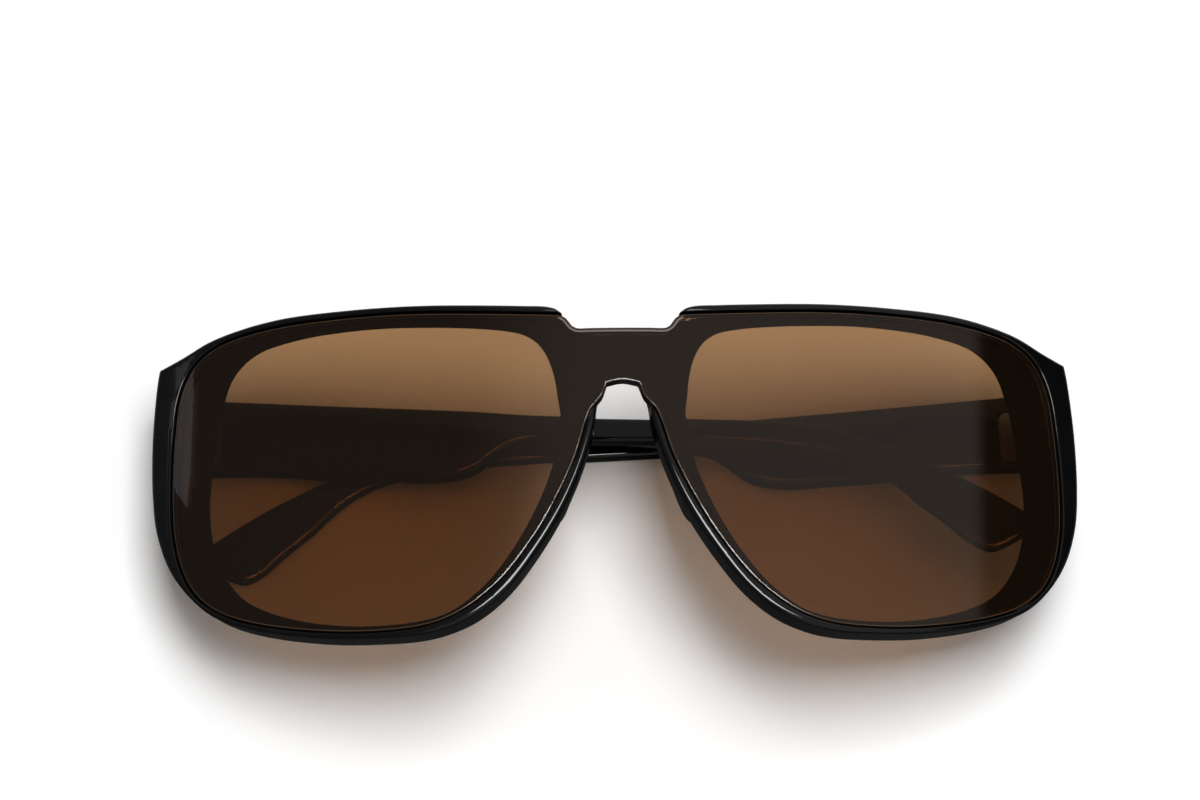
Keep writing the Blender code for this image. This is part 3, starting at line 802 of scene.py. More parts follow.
class NodeTree(NodeMaker):
    """Small helper that builds a shader tree of a material or of the world.

    The Mix node's sockets for colours are only told apart by their numbers.
    """

    MIX_SHARE, MIX_UNDER, MIX_OVER, MIX_RESULT = 0, 6, 7, 2

    def __init__(self, owner: bpy.types.ID, shader: str = "Principled BSDF") -> None:
        """Start the tree.

        Args:
            owner: The material or world.
            shader: Name of the shader node that it starts with.
        """
        owner.use_nodes = True
        super().__init__(owner.node_tree)
        self.owner = owner
        self.shader = self.tree.nodes[shader]

    def dress(self, **inputs: Source) -> None:
        """Link or set the shader's inputs, named with low lines for spaces."""
        for name, source in inputs.items():
            self.put(source, self.shader.inputs[name.replace("_", " ")])

    def place(self, kind: str) -> list[bpy.types.NodeSocket]:
        """Return X, Y and Z of one kind of texture coordinates."""
        place = self.node("ShaderNodeTexCoord").outputs[kind]
        return list(self.node("ShaderNodeSeparateXYZ", {0: place}).outputs)

    def noise(self, scale: float, detail: float = 2, rough: float = 0.5,
              stretch: Sequence[float] = (1, 1, 1)) -> bpy.types.NodeSocket:
        """Return the value of a noise on object coordinates.

        Args:
            scale: Scale of the noise.
            detail: Its detail.
            rough: Its roughness.
            stretch: Scale along each axis before the noise.

        Returns:
            The value.
        """
        place = self.node("ShaderNodeTexCoord").outputs["Object"]
        mapping = self.node("ShaderNodeMapping", {"Vector": place, "Scale": stretch})
        return self.node("ShaderNodeTexNoise", {
            "Vector": mapping.outputs["Vector"], "Scale": scale, "Detail": detail,
            "Roughness": rough}).outputs["Fac"]

    def ramp(self, value: bpy.types.NodeSocket, low: Colour, high: Colour) -> bpy.types.NodeSocket:
        """Return a colour that runs between two colours over a noise.

        Args:
            value: The noise.
            low: Colour at its low end.
            high: Colour at its high end.

        Returns:
            The colour.
        """
        ramp = self.node("ShaderNodeValToRGB", {"Fac": value})
        for element, position, colour in zip(ramp.color_ramp.elements, NOISE_SPAN, (low, high)):
            element.position = position
            element.color = (*colour, 1)
        return ramp.outputs["Color"]

    def span(self, value: bpy.types.NodeSocket, low: float, high: float) -> bpy.types.NodeSocket:
        """Return a noise mapped to a range.

        Args:
            value: The noise.
            low: Low end of the range.
            high: High end of the range.

        Returns:
            The mapped value.
        """
        return self.node("ShaderNodeMapRange", {
            "Value": value, "From Min": NOISE_SPAN[0], "From Max": NOISE_SPAN[1], "To Min": low,
            "To Max": high}).outputs["Result"]

    def eased(self, value: bpy.types.NodeSocket, low: Source, high: Source, start: float = 0.0,
              end: float = 1.0) -> bpy.types.NodeSocket:
        """Return a value eased from one level to another between two values.

        Args:
            value: The socket that drives it.
            low: Level at the start, as a socket or a value.
            high: Level at the end, as a socket or a value.
            start: Value at which it leaves the first level.
            end: Value at which it reaches the second level.

        Returns:
            The eased value.
        """
        return self.node("ShaderNodeMapRange", {
            "Value": value, "From Min": start, "From Max": end, "To Min": low, "To Max": high},
            interpolation_type="SMOOTHSTEP").outputs["Result"]

    def attribute(self, name: str) -> bpy.types.NodeSocket:
        """Return the value of a mesh attribute."""
        return self.node("ShaderNodeAttribute", attribute_name=name).outputs["Fac"]

    def mix(self, under: bpy.types.NodeSocket, over: Colour,
            share: bpy.types.NodeSocket) -> bpy.types.NodeSocket:
        """Return a colour mixed towards a plain one.

        Args:
            under: The colour.
            over: The plain one.
            share: Share of the plain one.

        Returns:
            The mixed colour.
        """
        return self.node("ShaderNodeMix", {
            self.MIX_SHARE: share, self.MIX_UNDER: under, self.MIX_OVER: (*over, 1)},
            data_type="RGBA").outputs[self.MIX_RESULT]

    def bump(self, value: bpy.types.NodeSocket, distance: float,
             strength: float) -> bpy.types.NodeSocket:
        """Return a normal from a height value.

        Args:
            value: The height.
            distance: Height that a value of 1 stands for.
            strength: Strength of the effect.

        Returns:
            The normal.
        """
        return self.node("ShaderNodeBump", {
            "Height": value, "Distance": distance, "Strength": strength}).outputs["Normal"]


@dataclass(frozen=True)
class GlossBlack:
    """Polished black plastic with faint moulding waves and hairline wear."""

    dark: Colour = (0.0022, 0.0022, 0.0024)
    light: Colour = (0.0036, 0.0036, 0.0038)
    roughness: tuple[float, float] = (0.045, 0.085)
    ior: float = 1.5
    shade_scale: float = 60
    wear_scale: float = 240
    wave_scale: float = 55
    wave_height: float = 0.00004
    wave_strength: float = 0.25

    def build(self) -> bpy.types.Material:
        """Return the material.

        Returns:
            The material.
        """
        t = NodeTree(bpy.data.materials.new("gloss_black"))
        waves = t.bump(t.noise(self.wave_scale, detail=1), self.wave_height, self.wave_strength)
        t.dress(Base_Color=t.ramp(t.noise(self.shade_scale), self.dark, self.light),
                Roughness=t.span(t.noise(self.wear_scale, detail=4), *self.roughness), IOR=self.ior,
                Normal=waves)
        return t.owner


@dataclass(frozen=True)
class BrownLens:
    """See-through brown lens, its edge ground and dark, with a painted highlight line along its notch
    edge.
    """

    dark: Colour = (0.325, 0.179, 0.083)
    light: Colour = (0.341, 0.189, 0.088)
    edge: Colour = (0.010, 0.007, 0.006)
    # Light colour of the painted highlight line at the lens's notch edge.
    polish: Colour = (0.13, 0.12, 0.11)
    clearness: float = 0.985
    roughness: tuple[float, float] = (0.0, 0.012)
    edge_roughness: float = 0.25
    tint_scale: float = 20
    haze_scale: float = 300
    ior: float = 1.5

    def build(self) -> bpy.types.Material:
        """Return the material.

        Returns:
            The material.
        """
        t = NodeTree(bpy.data.materials.new("brown_lens"))
        ground, glint = t.attribute(GROUND), t.attribute(GLINT)
        tint = t.ramp(t.noise(self.tint_scale), self.dark, self.light)
        either = t.math("MAXIMUM", ground, glint)
        # The glint attribute paints a light highlight line into the lens colour and makes the lens
        # opaque there.
        t.dress(Base_Color=t.mix(t.mix(tint, self.edge, ground), self.polish, glint),
                Transmission_Weight=t.math("SUBTRACT", self.clearness, either, clamp=True),
                Roughness=t.math("MULTIPLY_ADD", either, self.edge_roughness,
                                 t.span(t.noise(self.haze_scale), *self.roughness)),
                IOR=self.ior)
        return t.owner


@dataclass(frozen=True)
class BrushedSteel:
    """Brushed steel, its marks along the hinge's axis."""

    dark: Colour = (0.38, 0.38, 0.39)
    light: Colour = (0.52, 0.52, 0.53)
    roughness: tuple[float, float] = (0.24, 0.38)
    grain_scale: float = 900
    grain_roughness: float = 0.6
    stretch: tuple[float, float, float] = (1, 0.05, 1)
    mark_height: float = 0.00002
    mark_strength: float = 0.4

    def build(self) -> bpy.types.Material:
        """Return the material.

        Returns:
            The material.
        """
        t = NodeTree(bpy.data.materials.new("brushed_steel"))
        grain = t.noise(self.grain_scale, detail=3, rough=self.grain_roughness, stretch=self.stretch)
        t.dress(Base_Color=t.ramp(grain, self.dark, self.light),
                Roughness=t.span(grain, *self.roughness), Metallic=1.0,
                Normal=t.bump(grain, self.mark_height, self.mark_strength))
        return t.owner


@dataclass(frozen=True)
class SoftPad:
    """Satin rubber of the nose pads."""

    dark: Colour = (0.014, 0.014, 0.014)
    light: Colour = (0.024, 0.024, 0.024)
    roughness: tuple[float, float] = (0.42, 0.58)
    shade_scale: float = 500
    wear_scale: float = 900
    grain_scale: float = 2600
    grain_height: float = 0.00003
    grain_strength: float = 0.4

    def build(self) -> bpy.types.Material:
        """Return the material.

        Returns:
            The material.
        """
        t = NodeTree(bpy.data.materials.new("soft_pad"))
        grain = t.bump(t.noise(self.grain_scale), self.grain_height, self.grain_strength)
        t.dress(Base_Color=t.ramp(t.noise(self.shade_scale), self.dark, self.light),
                Roughness=t.span(t.noise(self.wear_scale, detail=3), *self.roughness), Normal=grain)
        return t.owner


@dataclass(frozen=True)
class Finishes:
    """The materials of the glasses."""

    black: bpy.types.Material
    lens: bpy.types.Material
    steel: bpy.types.Material
    pad: bpy.types.Material


@dataclass(frozen=True)
class Assembly:
    """What every sub-assembly of the glasses works with.

    Args:
        sizes: The sizes that the sub-assemblies share.
        shaper: The maker of meshes.
        finishes: The materials.
    """

    sizes: Sizes
    shaper: Shaper
    finishes: Finishes

    def folded(self, side: Side) -> Place:
        """Return the function that takes hinge coordinates to a folded temple's place.

        Args:
            side: The temple's side.

        Returns:
            The function.
        """
        s = self.sizes
        tilt = s.left_tilt if side is Side.LEFT else 0.0

        def place(along: float, height: float, offset: float) -> tuple[float, float, float]:
            """Return the place of one point.

            Args:
                along: Distance from the axis along the temple.
                height: Height of the point.
                offset: Distance from the axis across the temple.

            Returns:
                The point's place.
            """
            x = along * math.cos(tilt) + offset * math.sin(tilt)
            z = along * math.sin(tilt) - offset * math.cos(tilt)
            return (side.value * (s.hinge_half_spacing - x), height - s.middle, s.outer_offset + z)

        return place


@dataclass(frozen=True)
class Front(Assembly):
    """The black rim with its endpieces, the shield lens and the nose pads."""

    lip_rise: float = 0.0003
    edge_round: float = 0.0009
    lip_round: float = 0.0007
    seam_round: float = 0.00025
    lens_edge_round: float = 0.0003
    glint_inset: float = 0.0005
    notch_share: float = 0.1240
    notch_floor_share: float = 0.2900
    butt_lead: float = 0.0002
    endpiece_low_margin: float = 0.0008
    endpiece_high_margin: float = 0.0017
    endpiece_round: float = 0.0008
    root_outer_share: float = 0.977
    root_inner_share: float = 0.925
    root_back_share: float = 0.905
    root_depth_share: float = 0.2
    root_sink_gaps: float = 3
    swell_shares: tuple[float, float, float] = (0.80, 0.55, 0.45)
    pad_height: float = 0.0019
    pad_side_round: float = 0.00105
    pad_back_round: float = 0.00112
    fine_step: float = 0.0005
    strip_width: float = 0.0013

    def bend(self, x: float, y: float, level: float) -> tuple[float, float, float]:
        """Wrap a flat point of the front and place it over the table.

        Args:
            x: Distance along the curve.
            y: Height of the point.
            level: Level over the lens's outer face.

        Returns:
            The point's place.
        """
        s = self.sizes
        radius = s.wrap_radius + level
        angle = x / s.wrap_radius
        depth = radius * math.cos(angle) - s.wrap_radius
        return (radius * math.sin(angle), y - s.middle, depth + s.floor_drop)

    def wrapped(self, body: bpy.types.Object, finish: bpy.types.Material) -> bpy.types.Object:
        """Cut a flat body into strips and wrap it round the front's axis.

        Args:
            body: The flat body.
            finish: Its material.

        Returns:
            The same object, wrapped.
        """
        s = self.sizes
        total = math.ceil(s.front_reach / self.strip_width)
        self.shaper.strips(body, [k * self.strip_width for k in range(-total, total + 1)])
        return self.shaper.grown(body, wrap_tree(), {
            "Wrap Radius": s.wrap_radius, "Middle Height": s.middle, "Floor Drop": s.floor_drop,
            "Finish": finish})

    def rim(self) -> bpy.types.Object:
        """Return the black front with its lens recess, openings and endpieces.

        Returns:
            The piece.
        """
        s, shaper = self.sizes, self.shaper
        rim = Outline(RIM_SHARES, s.front_reach, True).loop()
        lens = Outline(LENS_SHARES, s.front_reach, True).loop()
        rings = rounded(rim, -s.rim_depth, self.edge_round, -1)
        rings += rounded(rim, self.lip_rise, self.lip_round, 1)
        body = shaper.loft("front", rings, flat_place)
        recess = [(inset(lens, -s.fit_gap), -s.lens_floor)]
        recess += [(inset(lens, -s.fit_gap - out), self.lip_rise - down)
                   for out, down in quarter(self.seam_round, steps=4)]
        recess.append((inset(lens, -s.fit_gap - self.seam_round), self.lip_rise + s.overrun))
        shaper.combine(body, shaper.loft("recess", recess, flat_place), Cut.TAKE)
        eye = Outline(EYE_SHARES, s.front_reach).loop()
        for side in Side:
            loop = turned_ccw([(side.value * x, y) for x, y in eye])
            back = [(inset(loop, -self.edge_round), -s.rim_depth - s.overrun)]
            back += [(inset(loop, -out), -s.rim_depth + up) for up, out in quarter(self.edge_round)]
            back.append((loop, s.overrun))
            shaper.combine(body, shaper.loft("opening", back, flat_place), Cut.TAKE)
        self.wrapped(body, self.finishes.black)
        for side in Side:
            self.endpiece(body, side.value)
        piece = shaper.finish(body, "front_rim", self.finishes.black)
        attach(piece, "front")
        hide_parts("front_frame")
        return piece

    def endpiece(self, body: bpy.types.Object, side: int) -> None:
        """Join one endpiece to the front and cut its hinge pocket.

        Args:
            body: The front.
            side: 1 for the right side, -1 for the left.
        """
        s, shaper = self.sizes, self.shaper
        outer = s.hinge_half_spacing + s.outer_offset
        inner = s.hinge_half_spacing + s.hinge_offset
        end = s.outer_offset + self.butt_lead + s.fit_gap
        root_outer = self.bend(s.front_reach * self.root_outer_share, 0,
                               -s.rim_depth * self.root_depth_share)
        root_inner = self.bend(s.front_reach * self.root_inner_share, 0, -s.lens_floor - s.fit_gap)
        root_back = self.bend(s.front_reach * self.root_back_share, 0,
                              -s.rim_depth + s.fit_gap * self.root_sink_gaps)
        rise = root_outer[2] - end
        high_swell, low_swell, inner_swell = (end + rise * share for share in self.swell_shares)
        outline = [
            (root_outer[0], root_outer[2], True),
            (outer - s.leaf_proud, high_swell, False),
            (outer, low_swell, False),
            (outer, end, True),
            (inner, end, True),
            (inner, inner_swell, False),
            (root_back[0], root_back[2], True),
            (root_inner[0], root_inner[2], True),
        ]
        loop = turned_ccw([(side * x, z) for x, z in smooth_loop(outline, self.fine_step)])
        low = s.hinge_low - self.endpiece_low_margin - s.middle
        high = s.hinge_high + s.head_room + self.endpiece_high_margin - s.middle
        shares = [min(1.0, max(0.0, (root_outer[2] - z) / s.rim_depth)) for _, z in loop]
        rings = [([(a[0] + (b[0] - a[0]) * f, a[1] + (b[1] - a[1]) * f)
                   for a, b, f in zip(loop, ring, shares)], level)
                 for ring, level in (rounded(loop, low, self.endpiece_round, -1)
                                     + rounded(loop, high, self.endpiece_round, 1))]
        piece = shaper.loft("endpiece", rings, upright_place)
        shaper.combine(body, piece, Cut.JOIN)
        xs = sorted((side * (inner - s.overrun), side * (s.hinge_half_spacing + s.pocket_floor)))
        ys = (s.hinge_low - s.fit_gap - s.middle, s.hinge_high + s.fit_gap - s.middle)
        top = s.outer_offset + s.leaf_length + s.fit_gap
        pocket = shaper.block("pocket", (xs[0], ys[0], end - s.overrun), (xs[1], ys[1], top))
        shaper.combine(body, pocket, Cut.TAKE)
        centre = (side * s.hinge_half_spacing, s.outer_offset)
        room = shaper.rod("room", centre, s.knuckle_radius + s.fit_gap, ys[0],
                          s.hinge_high + s.head_room - s.middle)
        shaper.combine(body, room, Cut.TAKE)

    def lens(self) -> bpy.types.Object:
        """Return the curved brown lens with its ground edge and a painted glint line at its notch.

        Returns:
            The piece.
        """
        s, shaper = self.sizes, self.shaper
        loop = Outline(LENS_SHARES, s.front_reach, True).loop()
        rings = rounded(loop, -s.lens_thickness, self.lens_edge_round, -1, steps=3)
        rings += rounded(loop, 0.0, self.lens_edge_round, 1, steps=3)
        walls = len(rings)
        # Extra rings on the front face carry the painted glint line.
        rings += [(inset(loop, self.glint_inset * share), 0.0) for share, _ in GLINT_BAND]
        ground = [float(0 < k < walls - 1) for k in range(len(rings))]
        polish = [0.0] * walls + [value for _, value in GLINT_BAND]
        reach, floor = s.front_reach * self.notch_share, s.front_reach * self.notch_floor_share
        body = shaper.loft("lens", rings, flat_place)
        shaper.mark(body, GROUND, [value for value in ground for _ in loop])
        # The painted glint line is kept to the top edge of the notch.
        shaper.mark(body, GLINT, [value * (abs(x) < reach and y > floor)
                                  for value in polish for x, y in loop])
        self.wrapped(body, self.finishes.lens)
        piece = shaper.finish(body, "lens_shield", self.finishes.lens)
        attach(piece, "front")
        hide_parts("shield_lens")
        return piece

    def pad(self, side: Side) -> bpy.types.Object:
        """Return one domed nose pad on the back of the rim.

        Args:
            side: The pad's side.

        Returns:
            The piece.
        """
        s, shaper = self.sizes, self.shaper
        loop = Outline(PAD_SHARES, s.front_reach, step=self.fine_step).loop()
        loop = turned_ccw([(side.value * x, y) for x, y in loop])
        back = -s.rim_depth - s.fit_gap
        rings = [(inset(loop, self.pad_side_round * out),
                  back - self.pad_height + self.pad_back_round * up)
                 for up, out in quarter(1.0, steps=7)]
        rings.append((loop, back))
        body = shaper.loft("pad", rings, flat_place)
        self.wrapped(body, self.finishes.pad)
        piece = shaper.finish(body, side.prefix + "_pad", self.finishes.pad)
        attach(piece, "front")
        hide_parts(side.prefix + "_nose_pad")
        return piece


@dataclass(frozen=True)
class Temple(Assembly):
    """One temple in its folded place."""

    side: Side = Side.RIGHT
    arm_thickness: float = 0.0028
    temple_round: float = 0.0008
    splay_deg: float = 4.0
    splay_gaps: float = 3
    step_start_share: float = 0.3180
    step_end_share: float = 0.4188
    base_strips: int = 10
    step_strips: int = 16
    arm_strips: int = 20

    @property
    def step(self) -> tuple[float, float]:
        """Distances from the hinge axis at which the S-step starts and ends."""
        reach = self.sizes.temple_reach
        return self.step_start_share * reach, self.step_end_share * reach

    def thickness(self, along: float) -> float:
        """Return the temple's thickness at a distance from its hinge axis.

        Args:
            along: The distance.

        Returns:
            The thickness.
        """
        s = self.sizes
        start, end = self.step
        if along <= start:
            return s.base_thickness
        if along <= end:
            f = (along - start) / (end - start)
            return s.base_thickness + (self.arm_thickness - s.base_thickness) * f * f * (3 - 2 * f)
        f = (along - end) / (s.temple_reach - end)
        return self.arm_thickness + (s.tip_thickness - self.arm_thickness) * f

    def shape(self, along: float, height: float, level: float) -> tuple[float, float, float]:
        """Take a flat point of the temple to hinge coordinates, thinned and splayed.

        Args:
            along: Distance from the hinge axis.
            height: Height of the point.
            level: Level over the temple's outer face.

        Returns:
            The point in hinge coordinates.
        """
        s = self.sizes
        offset = s.outer_offset - level * self.thickness(along) / s.base_thickness
        if along < s.fit_gap * self.splay_gaps:
            along += offset * math.tan(math.radians(self.splay_deg))
        return (along, height, offset)

    def arm(self) -> bpy.types.Object:
        """Return the black temple with its hinge pocket.

        Returns:
            The piece.
        """
        s, shaper = self.sizes, self.shaper
        loop = Outline(TEMPLE_SHARES, s.temple_reach).loop()
        rings = rounded(loop, 0.0, self.temple_round, -1)
        rings += rounded(loop, s.base_thickness, self.temple_round, 1)
        body = shaper.loft("temple", rings, flat_place)
        start, end = self.step
        places = [start + (end - start) * k / self.step_strips for k in range(self.step_strips + 1)]
        places += [end + (s.temple_reach - end) * k / self.arm_strips
                   for k in range(1, self.arm_strips)]
        places += [start * k / self.base_strips for k in range(1, self.base_strips)]
        shaper.strips(body, sorted(places), self.shape)
        low, high = s.hinge_low - s.fit_gap, s.hinge_high + s.fit_gap
        pocket = shaper.block("pocket", (-s.overrun, low, s.hinge_offset - s.overrun),
                              (s.leaf_length + s.fit_gap, high, s.pocket_floor))
        shaper.combine(body, pocket, Cut.TAKE)
        room = shaper.rod("room", (0, 0), s.knuckle_radius + s.fit_gap, low,
                          high + s.screw_head_height + s.fit_gap)
        shaper.combine(body, room, Cut.TAKE)
        shaper.move(body, self.folded(self.side))
        piece = shaper.finish(body, self.side.prefix + "_arm", self.finishes.black)
        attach(piece, self.side.prefix + "_temple_arm")
        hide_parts(self.side.prefix + "_temple")
        return piece


@dataclass(frozen=True)
class Hinge(Assembly):
    """The two steel leaves of one hinge."""

    side: Side = Side.RIGHT
    knuckle_count: int = 5
    knuckle_round: float = 0.0001
    screw_radius: float = 0.0007
    running_gap: float = 0.0001
    leaf_corner: float = 0.0014
    leaf_round: float = 0.00008
    tab_root_share: float = 0.55

    @property
    def knuckle_height(self) -> float:
        """Height of one knuckle of the barrel."""
        s = self.sizes
        return (s.hinge_height - (self.knuckle_count - 1) * s.fit_gap) / self.knuckle_count

    @property
    def pitch(self) -> float:
        """Distance from one knuckle to the next of the other leaf."""
        return self.knuckle_height + self.sizes.fit_gap

    def forward(self, along: float, height: float, offset: float) -> tuple[float, float, float]:
        """Take hinge coordinates to the front leaf's place.

        Args:
            along: Distance from the axis along the leaf.
            height: Height of the point.
            offset: Distance from the axis across the leaf.

        Returns:
            The point's place.
        """
        s = self.sizes
        x = self.side.value * (s.hinge_half_spacing + offset)
        return (x, height - s.middle, s.outer_offset + along)

    def plate(self, half: Half) -> bpy.types.Object:
        """Return a leaf's plate with a tab to each of its knuckles.

        Args:
            half: The leaf.

        Returns:
            The plate.
        """
        s, shaper = self.sizes, self.shaper
        start = s.knuckle_radius + s.fit_gap
        bottom = s.hinge_offset - s.leaf_proud
        top = bottom + s.leaf_thickness
        outline = [(start, s.hinge_low)]
        outline += [(s.leaf_length - back, s.hinge_low + up)
                    for up, back in quarter(self.leaf_corner, steps=8)]
        outline += [(x, s.hinge_low + s.hinge_high - y) for x, y in outline[::-1]]
        loop = turned_ccw(outline)
        rings = rounded(loop, bottom, self.leaf_round, -1, steps=2)
        rings += rounded(loop, top, self.leaf_round, 1, steps=2)
        plate = shaper.loft("plate", rings, flat_place)
        for k in range(half.value, self.knuckle_count, 2):
            low = s.hinge_low + k * self.pitch
            tab = shaper.block("tab", (self.running_gap, low, s.knuckle_radius * self.tab_root_share),
                               (start + s.leaf_proud, low + self.knuckle_height, top))
            room = shaper.rod("room", (0, 0), s.knuckle_radius - self.running_gap,
                              low - s.fit_gap, low + self.knuckle_height + s.fit_gap)
            shaper.combine(tab, room, Cut.TAKE)
            shaper.combine(plate, tab, Cut.JOIN)
        return plate

    def barrel(self, half: Half) -> bpy.types.Object:
        """Return a leaf's row of knuckles.

        Args:
            half: The leaf.

        Returns:
            The row.
        """
        s, shaper = self.sizes, self.shaper
        barrel = shaper.add("barrel", bpy.data.meshes.new("barrel"))
        return shaper.grown(barrel, knuckle_tree(), {
            "Count": len(range(half.value, self.knuckle_count, 2)),
            "First": s.hinge_low + half.value * self.pitch + self.knuckle_height / 2,
            "Pitch": 2 * self.pitch, "Height": self.knuckle_height,
            "Outer Radius": s.knuckle_radius, "Bore Radius": self.screw_radius + self.running_gap,
            "Edge Round": self.knuckle_round, "Finish": self.finishes.steel})

    def leaf(self, half: Half) -> list[bpy.types.Object]:
        """Return the two pieces of one hinge leaf in their place.

        Args:
            half: The leaf.

        Returns:
            The pieces.
        """
        side, shaper = self.side, self.shaper
        place = self.folded(side) if half is Half.TEMPLE else self.forward
        node = f"{side.prefix}_hinge_{half.label}_leaf"
        pieces = [(self.plate(half), "plate"), (self.barrel(half), "knuckles")]
        for piece, name in pieces:
            shaper.move(piece, place)
            shaper.finish(piece, f"{side.prefix}_{half.label}_{name}", self.finishes.steel)
            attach(piece, "front" if half is Half.FRONT else side.prefix + "_temple_arm")
            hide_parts(node)
        return [piece for piece, _ in pieces]


@dataclass(frozen=True)
class Shot:
    """The photograph's camera."""

    target: tuple[float, float, float] = (-0.00307, 0.0139, 0.0280)
    distance: float = 0.60
    tilt_deg: float = 22.0
    side_deg: float = 3.04
    roll_deg: float = -1.47
    pixels_per_m: float = 6200.0
    frame_width: float = 1200.0
    film_width: float = 36.0
    nearest: float = 0.01

    def build(self) -> bpy.types.Object:
        """Create the camera and make it the scene's.

        Returns:
            The camera.
        """
        tilt, turn, roll = (math.radians(a) for a in (self.tilt_deg, self.side_deg, self.roll_deg))
        out = Vector((-math.sin(turn) * math.cos(tilt), -math.sin(tilt),
                      math.cos(tilt) * math.cos(turn))).normalized()
        right = Vector((0, 1, 0)).cross(out).normalized()
        up = out.cross(right)
        axes = (right * math.cos(roll) + up * math.sin(roll),
                up * math.cos(roll) - right * math.sin(roll), out)
        data = bpy.data.cameras.new("camera")
        data.sensor_width = self.film_width
        data.lens = self.film_width * self.pixels_per_m * self.distance / self.frame_width
        data.clip_start = self.nearest
        camera = bpy.data.objects.new("camera", data)
        bpy.context.scene.collection.objects.link(camera)
        turned = Matrix(axes).transposed().to_4x4()
        camera.matrix_world = Matrix.Translation(Vector(self.target) + out * self.distance) @ turned
        bpy.context.scene.camera = camera
        return camera


@dataclass(frozen=True)
class Lamp:
    """One soft area light, aimed at the middle of the glasses."""

    name: str
    place: tuple[float, float, float]
    size: tuple[float, float]
    power: float
    aim: tuple[float, float, float] = (0.0, 0.0, 0.02)

    def build(self) -> bpy.types.Object:
        """Create the light.

        Returns:
            The light.
        """
        data = bpy.data.lights.new(self.name, "AREA")
        data.shape = "RECTANGLE"
        data.size, data.size_y = self.size
        data.energy = self.power
        lamp = bpy.data.objects.new(self.name, data)
        lamp.location = self.place
        way = Vector(self.aim) - Vector(self.place)
        lamp.rotation_euler = way.to_track_quat("-Z", "Y").to_euler()
        bpy.context.scene.collection.objects.link(lamp)
        return lamp


class Ray(Enum):
    """Kinds of ray, as Light Path names them."""

    CAMERA = "Is Camera Ray"
    GLOSSY = "Is Glossy Ray"
    THROUGH = "Is Transmission Ray"


@dataclass(frozen=True)
class Floor:
    """The pale floor, white to the camera and keeping its shadows, with painted shade in its
    reflections on the camera's side.
    """

    half_width: float = 2.0
    seen: float = 1.07
    bounced: float = 0.45
    # Brightness of the floor in reflections, low on the camera's side: painted shade standing in for
    # the shadowed floor that the rims reflect.
    mirrored: tuple[float, float] = (0.06, 0.7)
    reflected_shade_span: tuple[float, float] = (-0.01, 0.12)

    def build(self) -> bpy.types.Object:
        """Create the floor and its material.

        Returns:
            The floor.
        """
        mesh = bpy.data.meshes.new("floor")
        half = self.half_width
        corners = [(-half, -half, 0), (half, -half, 0), (half, half, 0), (-half, half, 0)]
        mesh.from_pydata(corners, [], [(0, 1, 2, 3)])
        floor = bpy.data.objects.new("floor", mesh)
        bpy.context.scene.collection.objects.link(floor)
        t = NodeTree(bpy.data.materials.new("floor_white"))
        path = t.node("ShaderNodeLightPath").outputs
        # Glossy rays see the floor darkened on the camera's side, a painted shade in reflections.
        mirrored = t.eased(t.place("Object")[1], *self.mirrored, *self.reflected_shade_span)
        level = t.eased(path[Ray.GLOSSY.value], self.bounced, mirrored)
        seen = t.math("MAXIMUM", path[Ray.CAMERA.value], path[Ray.THROUGH.value])
        diffuse = t.node("ShaderNodeBsdfDiffuse", {"Color": t.eased(seen, level, self.seen)})
        t.put(diffuse.outputs[0], t.tree.nodes["Material Output"].inputs["Surface"])
        t.tree.nodes.remove(t.shader)
        mesh.materials.append(t.owner)
        return floor


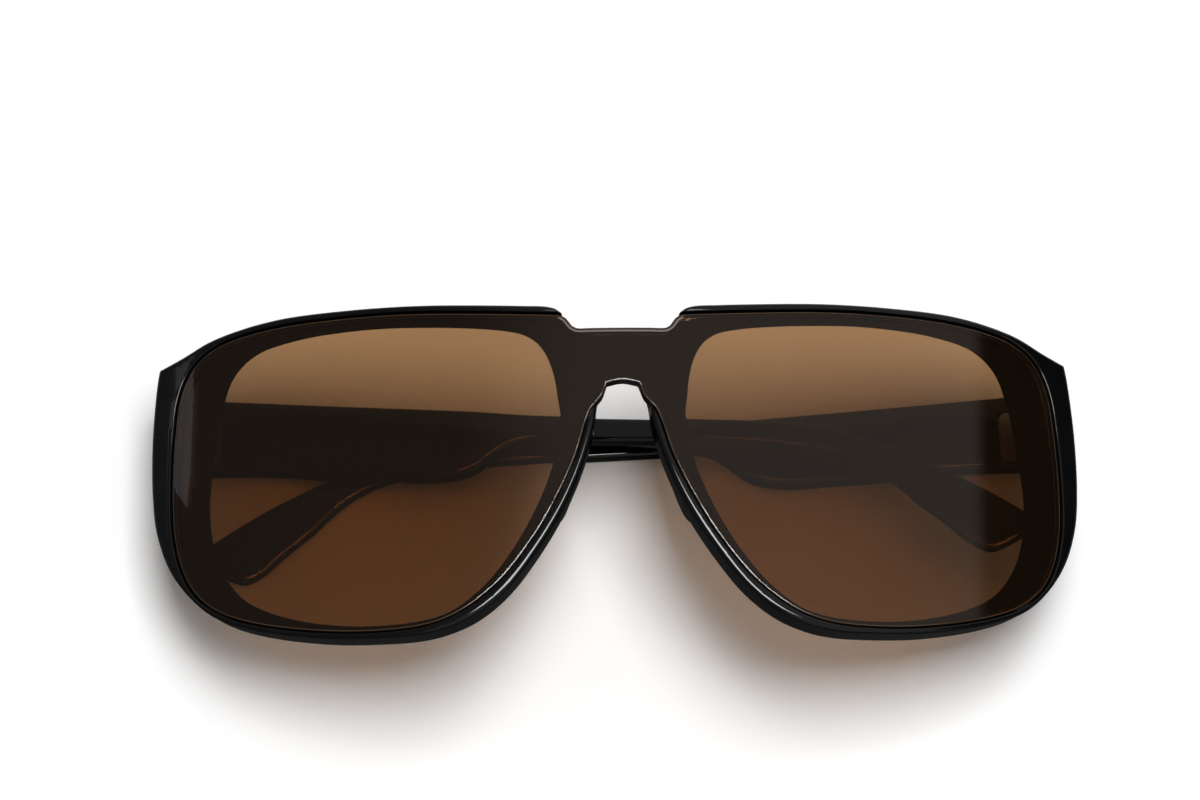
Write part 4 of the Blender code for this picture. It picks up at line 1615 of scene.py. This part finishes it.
@dataclass(frozen=True)
class Sky:
    """The sky, white to the camera and to what the lens shows near the horizon.

    Args:
        mirrored: Brightness that glossy surfaces see on the right.
        overhead: Brightness that lights the scene from straight above.
        horizon: Brightness that lights the scene from the horizon.
        lit_span: Heights between which the light fades in.
        left_share: Share of the mirrored brightness that is left on the left.
        left_span: Directions across X between which it fades to that.
        dark_share: Share of the mirrored brightness at the far right.
        dark_span: Directions across X between which it fades to that.
        white_span: Heights between which the white seen through the lens fades out.
    """

    mirrored: float = 0.34
    overhead: float = 0.32
    horizon: float = 0.04
    lit_span: tuple[float, float] = (0.15, 0.95)
    left_share: float = 0.3
    left_span: tuple[float, float] = (-0.35, 0.0)
    dark_share: float = 0.05
    dark_span: tuple[float, float] = (0.785, 0.815)
    white_span: tuple[float, float] = (0.15, 0.25)

    def build(self) -> None:
        """Create the world and make it the scene's."""
        world = bpy.data.worlds.new("world")
        bpy.context.scene.world = world
        t = NodeTree(world, "Background")
        path = t.node("ShaderNodeLightPath").outputs
        x, _, z = t.place("Generated")
        lit = t.eased(z, self.horizon, self.overhead, *self.lit_span)
        left = t.eased(x, self.mirrored * self.left_share, self.mirrored, *self.left_span)
        sheen = t.eased(x, left, self.mirrored * self.dark_share, *self.dark_span)
        through = t.eased(z, 1.0, sheen, *self.white_span)
        level = t.eased(path[Ray.GLOSSY.value], lit, sheen)
        level = t.eased(path[Ray.THROUGH.value], level, through)
        t.dress(Color=(1, 1, 1, 1), Strength=t.eased(path[Ray.CAMERA.value], level, 1.0))


LAMPS = [
    Lamp("roof_light", (0.10, 0.02, 1.2), (0.62, 0.48), 11.7),
    Lamp("left_strip", (-1.20, 0.52, 0.545), (0.10, 0.07), 0.010),
]


def main() -> None:
    """Build the looks on the frame and report each piece."""
    logging.basicConfig(level=logging.INFO)
    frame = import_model()
    scene = bpy.context.scene
    scene.view_settings.view_transform = "Standard"
    finishes = Finishes(GlossBlack().build(), BrownLens().build(), BrushedSteel().build(),
                        SoftPad().build())
    tools = (Sizes(), Shaper(), finishes)
    front = Front(*tools)
    pieces = [front.rim(), front.lens()]
    for side in Side:
        pieces += [front.pad(side), Temple(*tools, side).arm()]
        for half in Half:
            pieces += Hinge(*tools, side).leaf(half)
    for piece in pieces:
        LOG.info("%s: %d faces", piece.name, len(piece.data.polygons))
    for name, node in frame["nodes"].items():
        if "hinge" in name or "core" in name:
            node.data.materials.clear()
            node.data.materials.append(finishes.steel)
            LOG.info("%s: steel", name)
    Floor().build()
    Sky().build()
    for lamp in LAMPS:
        lamp.build()
    Shot().build()


if __name__ == "__main__":
    main()
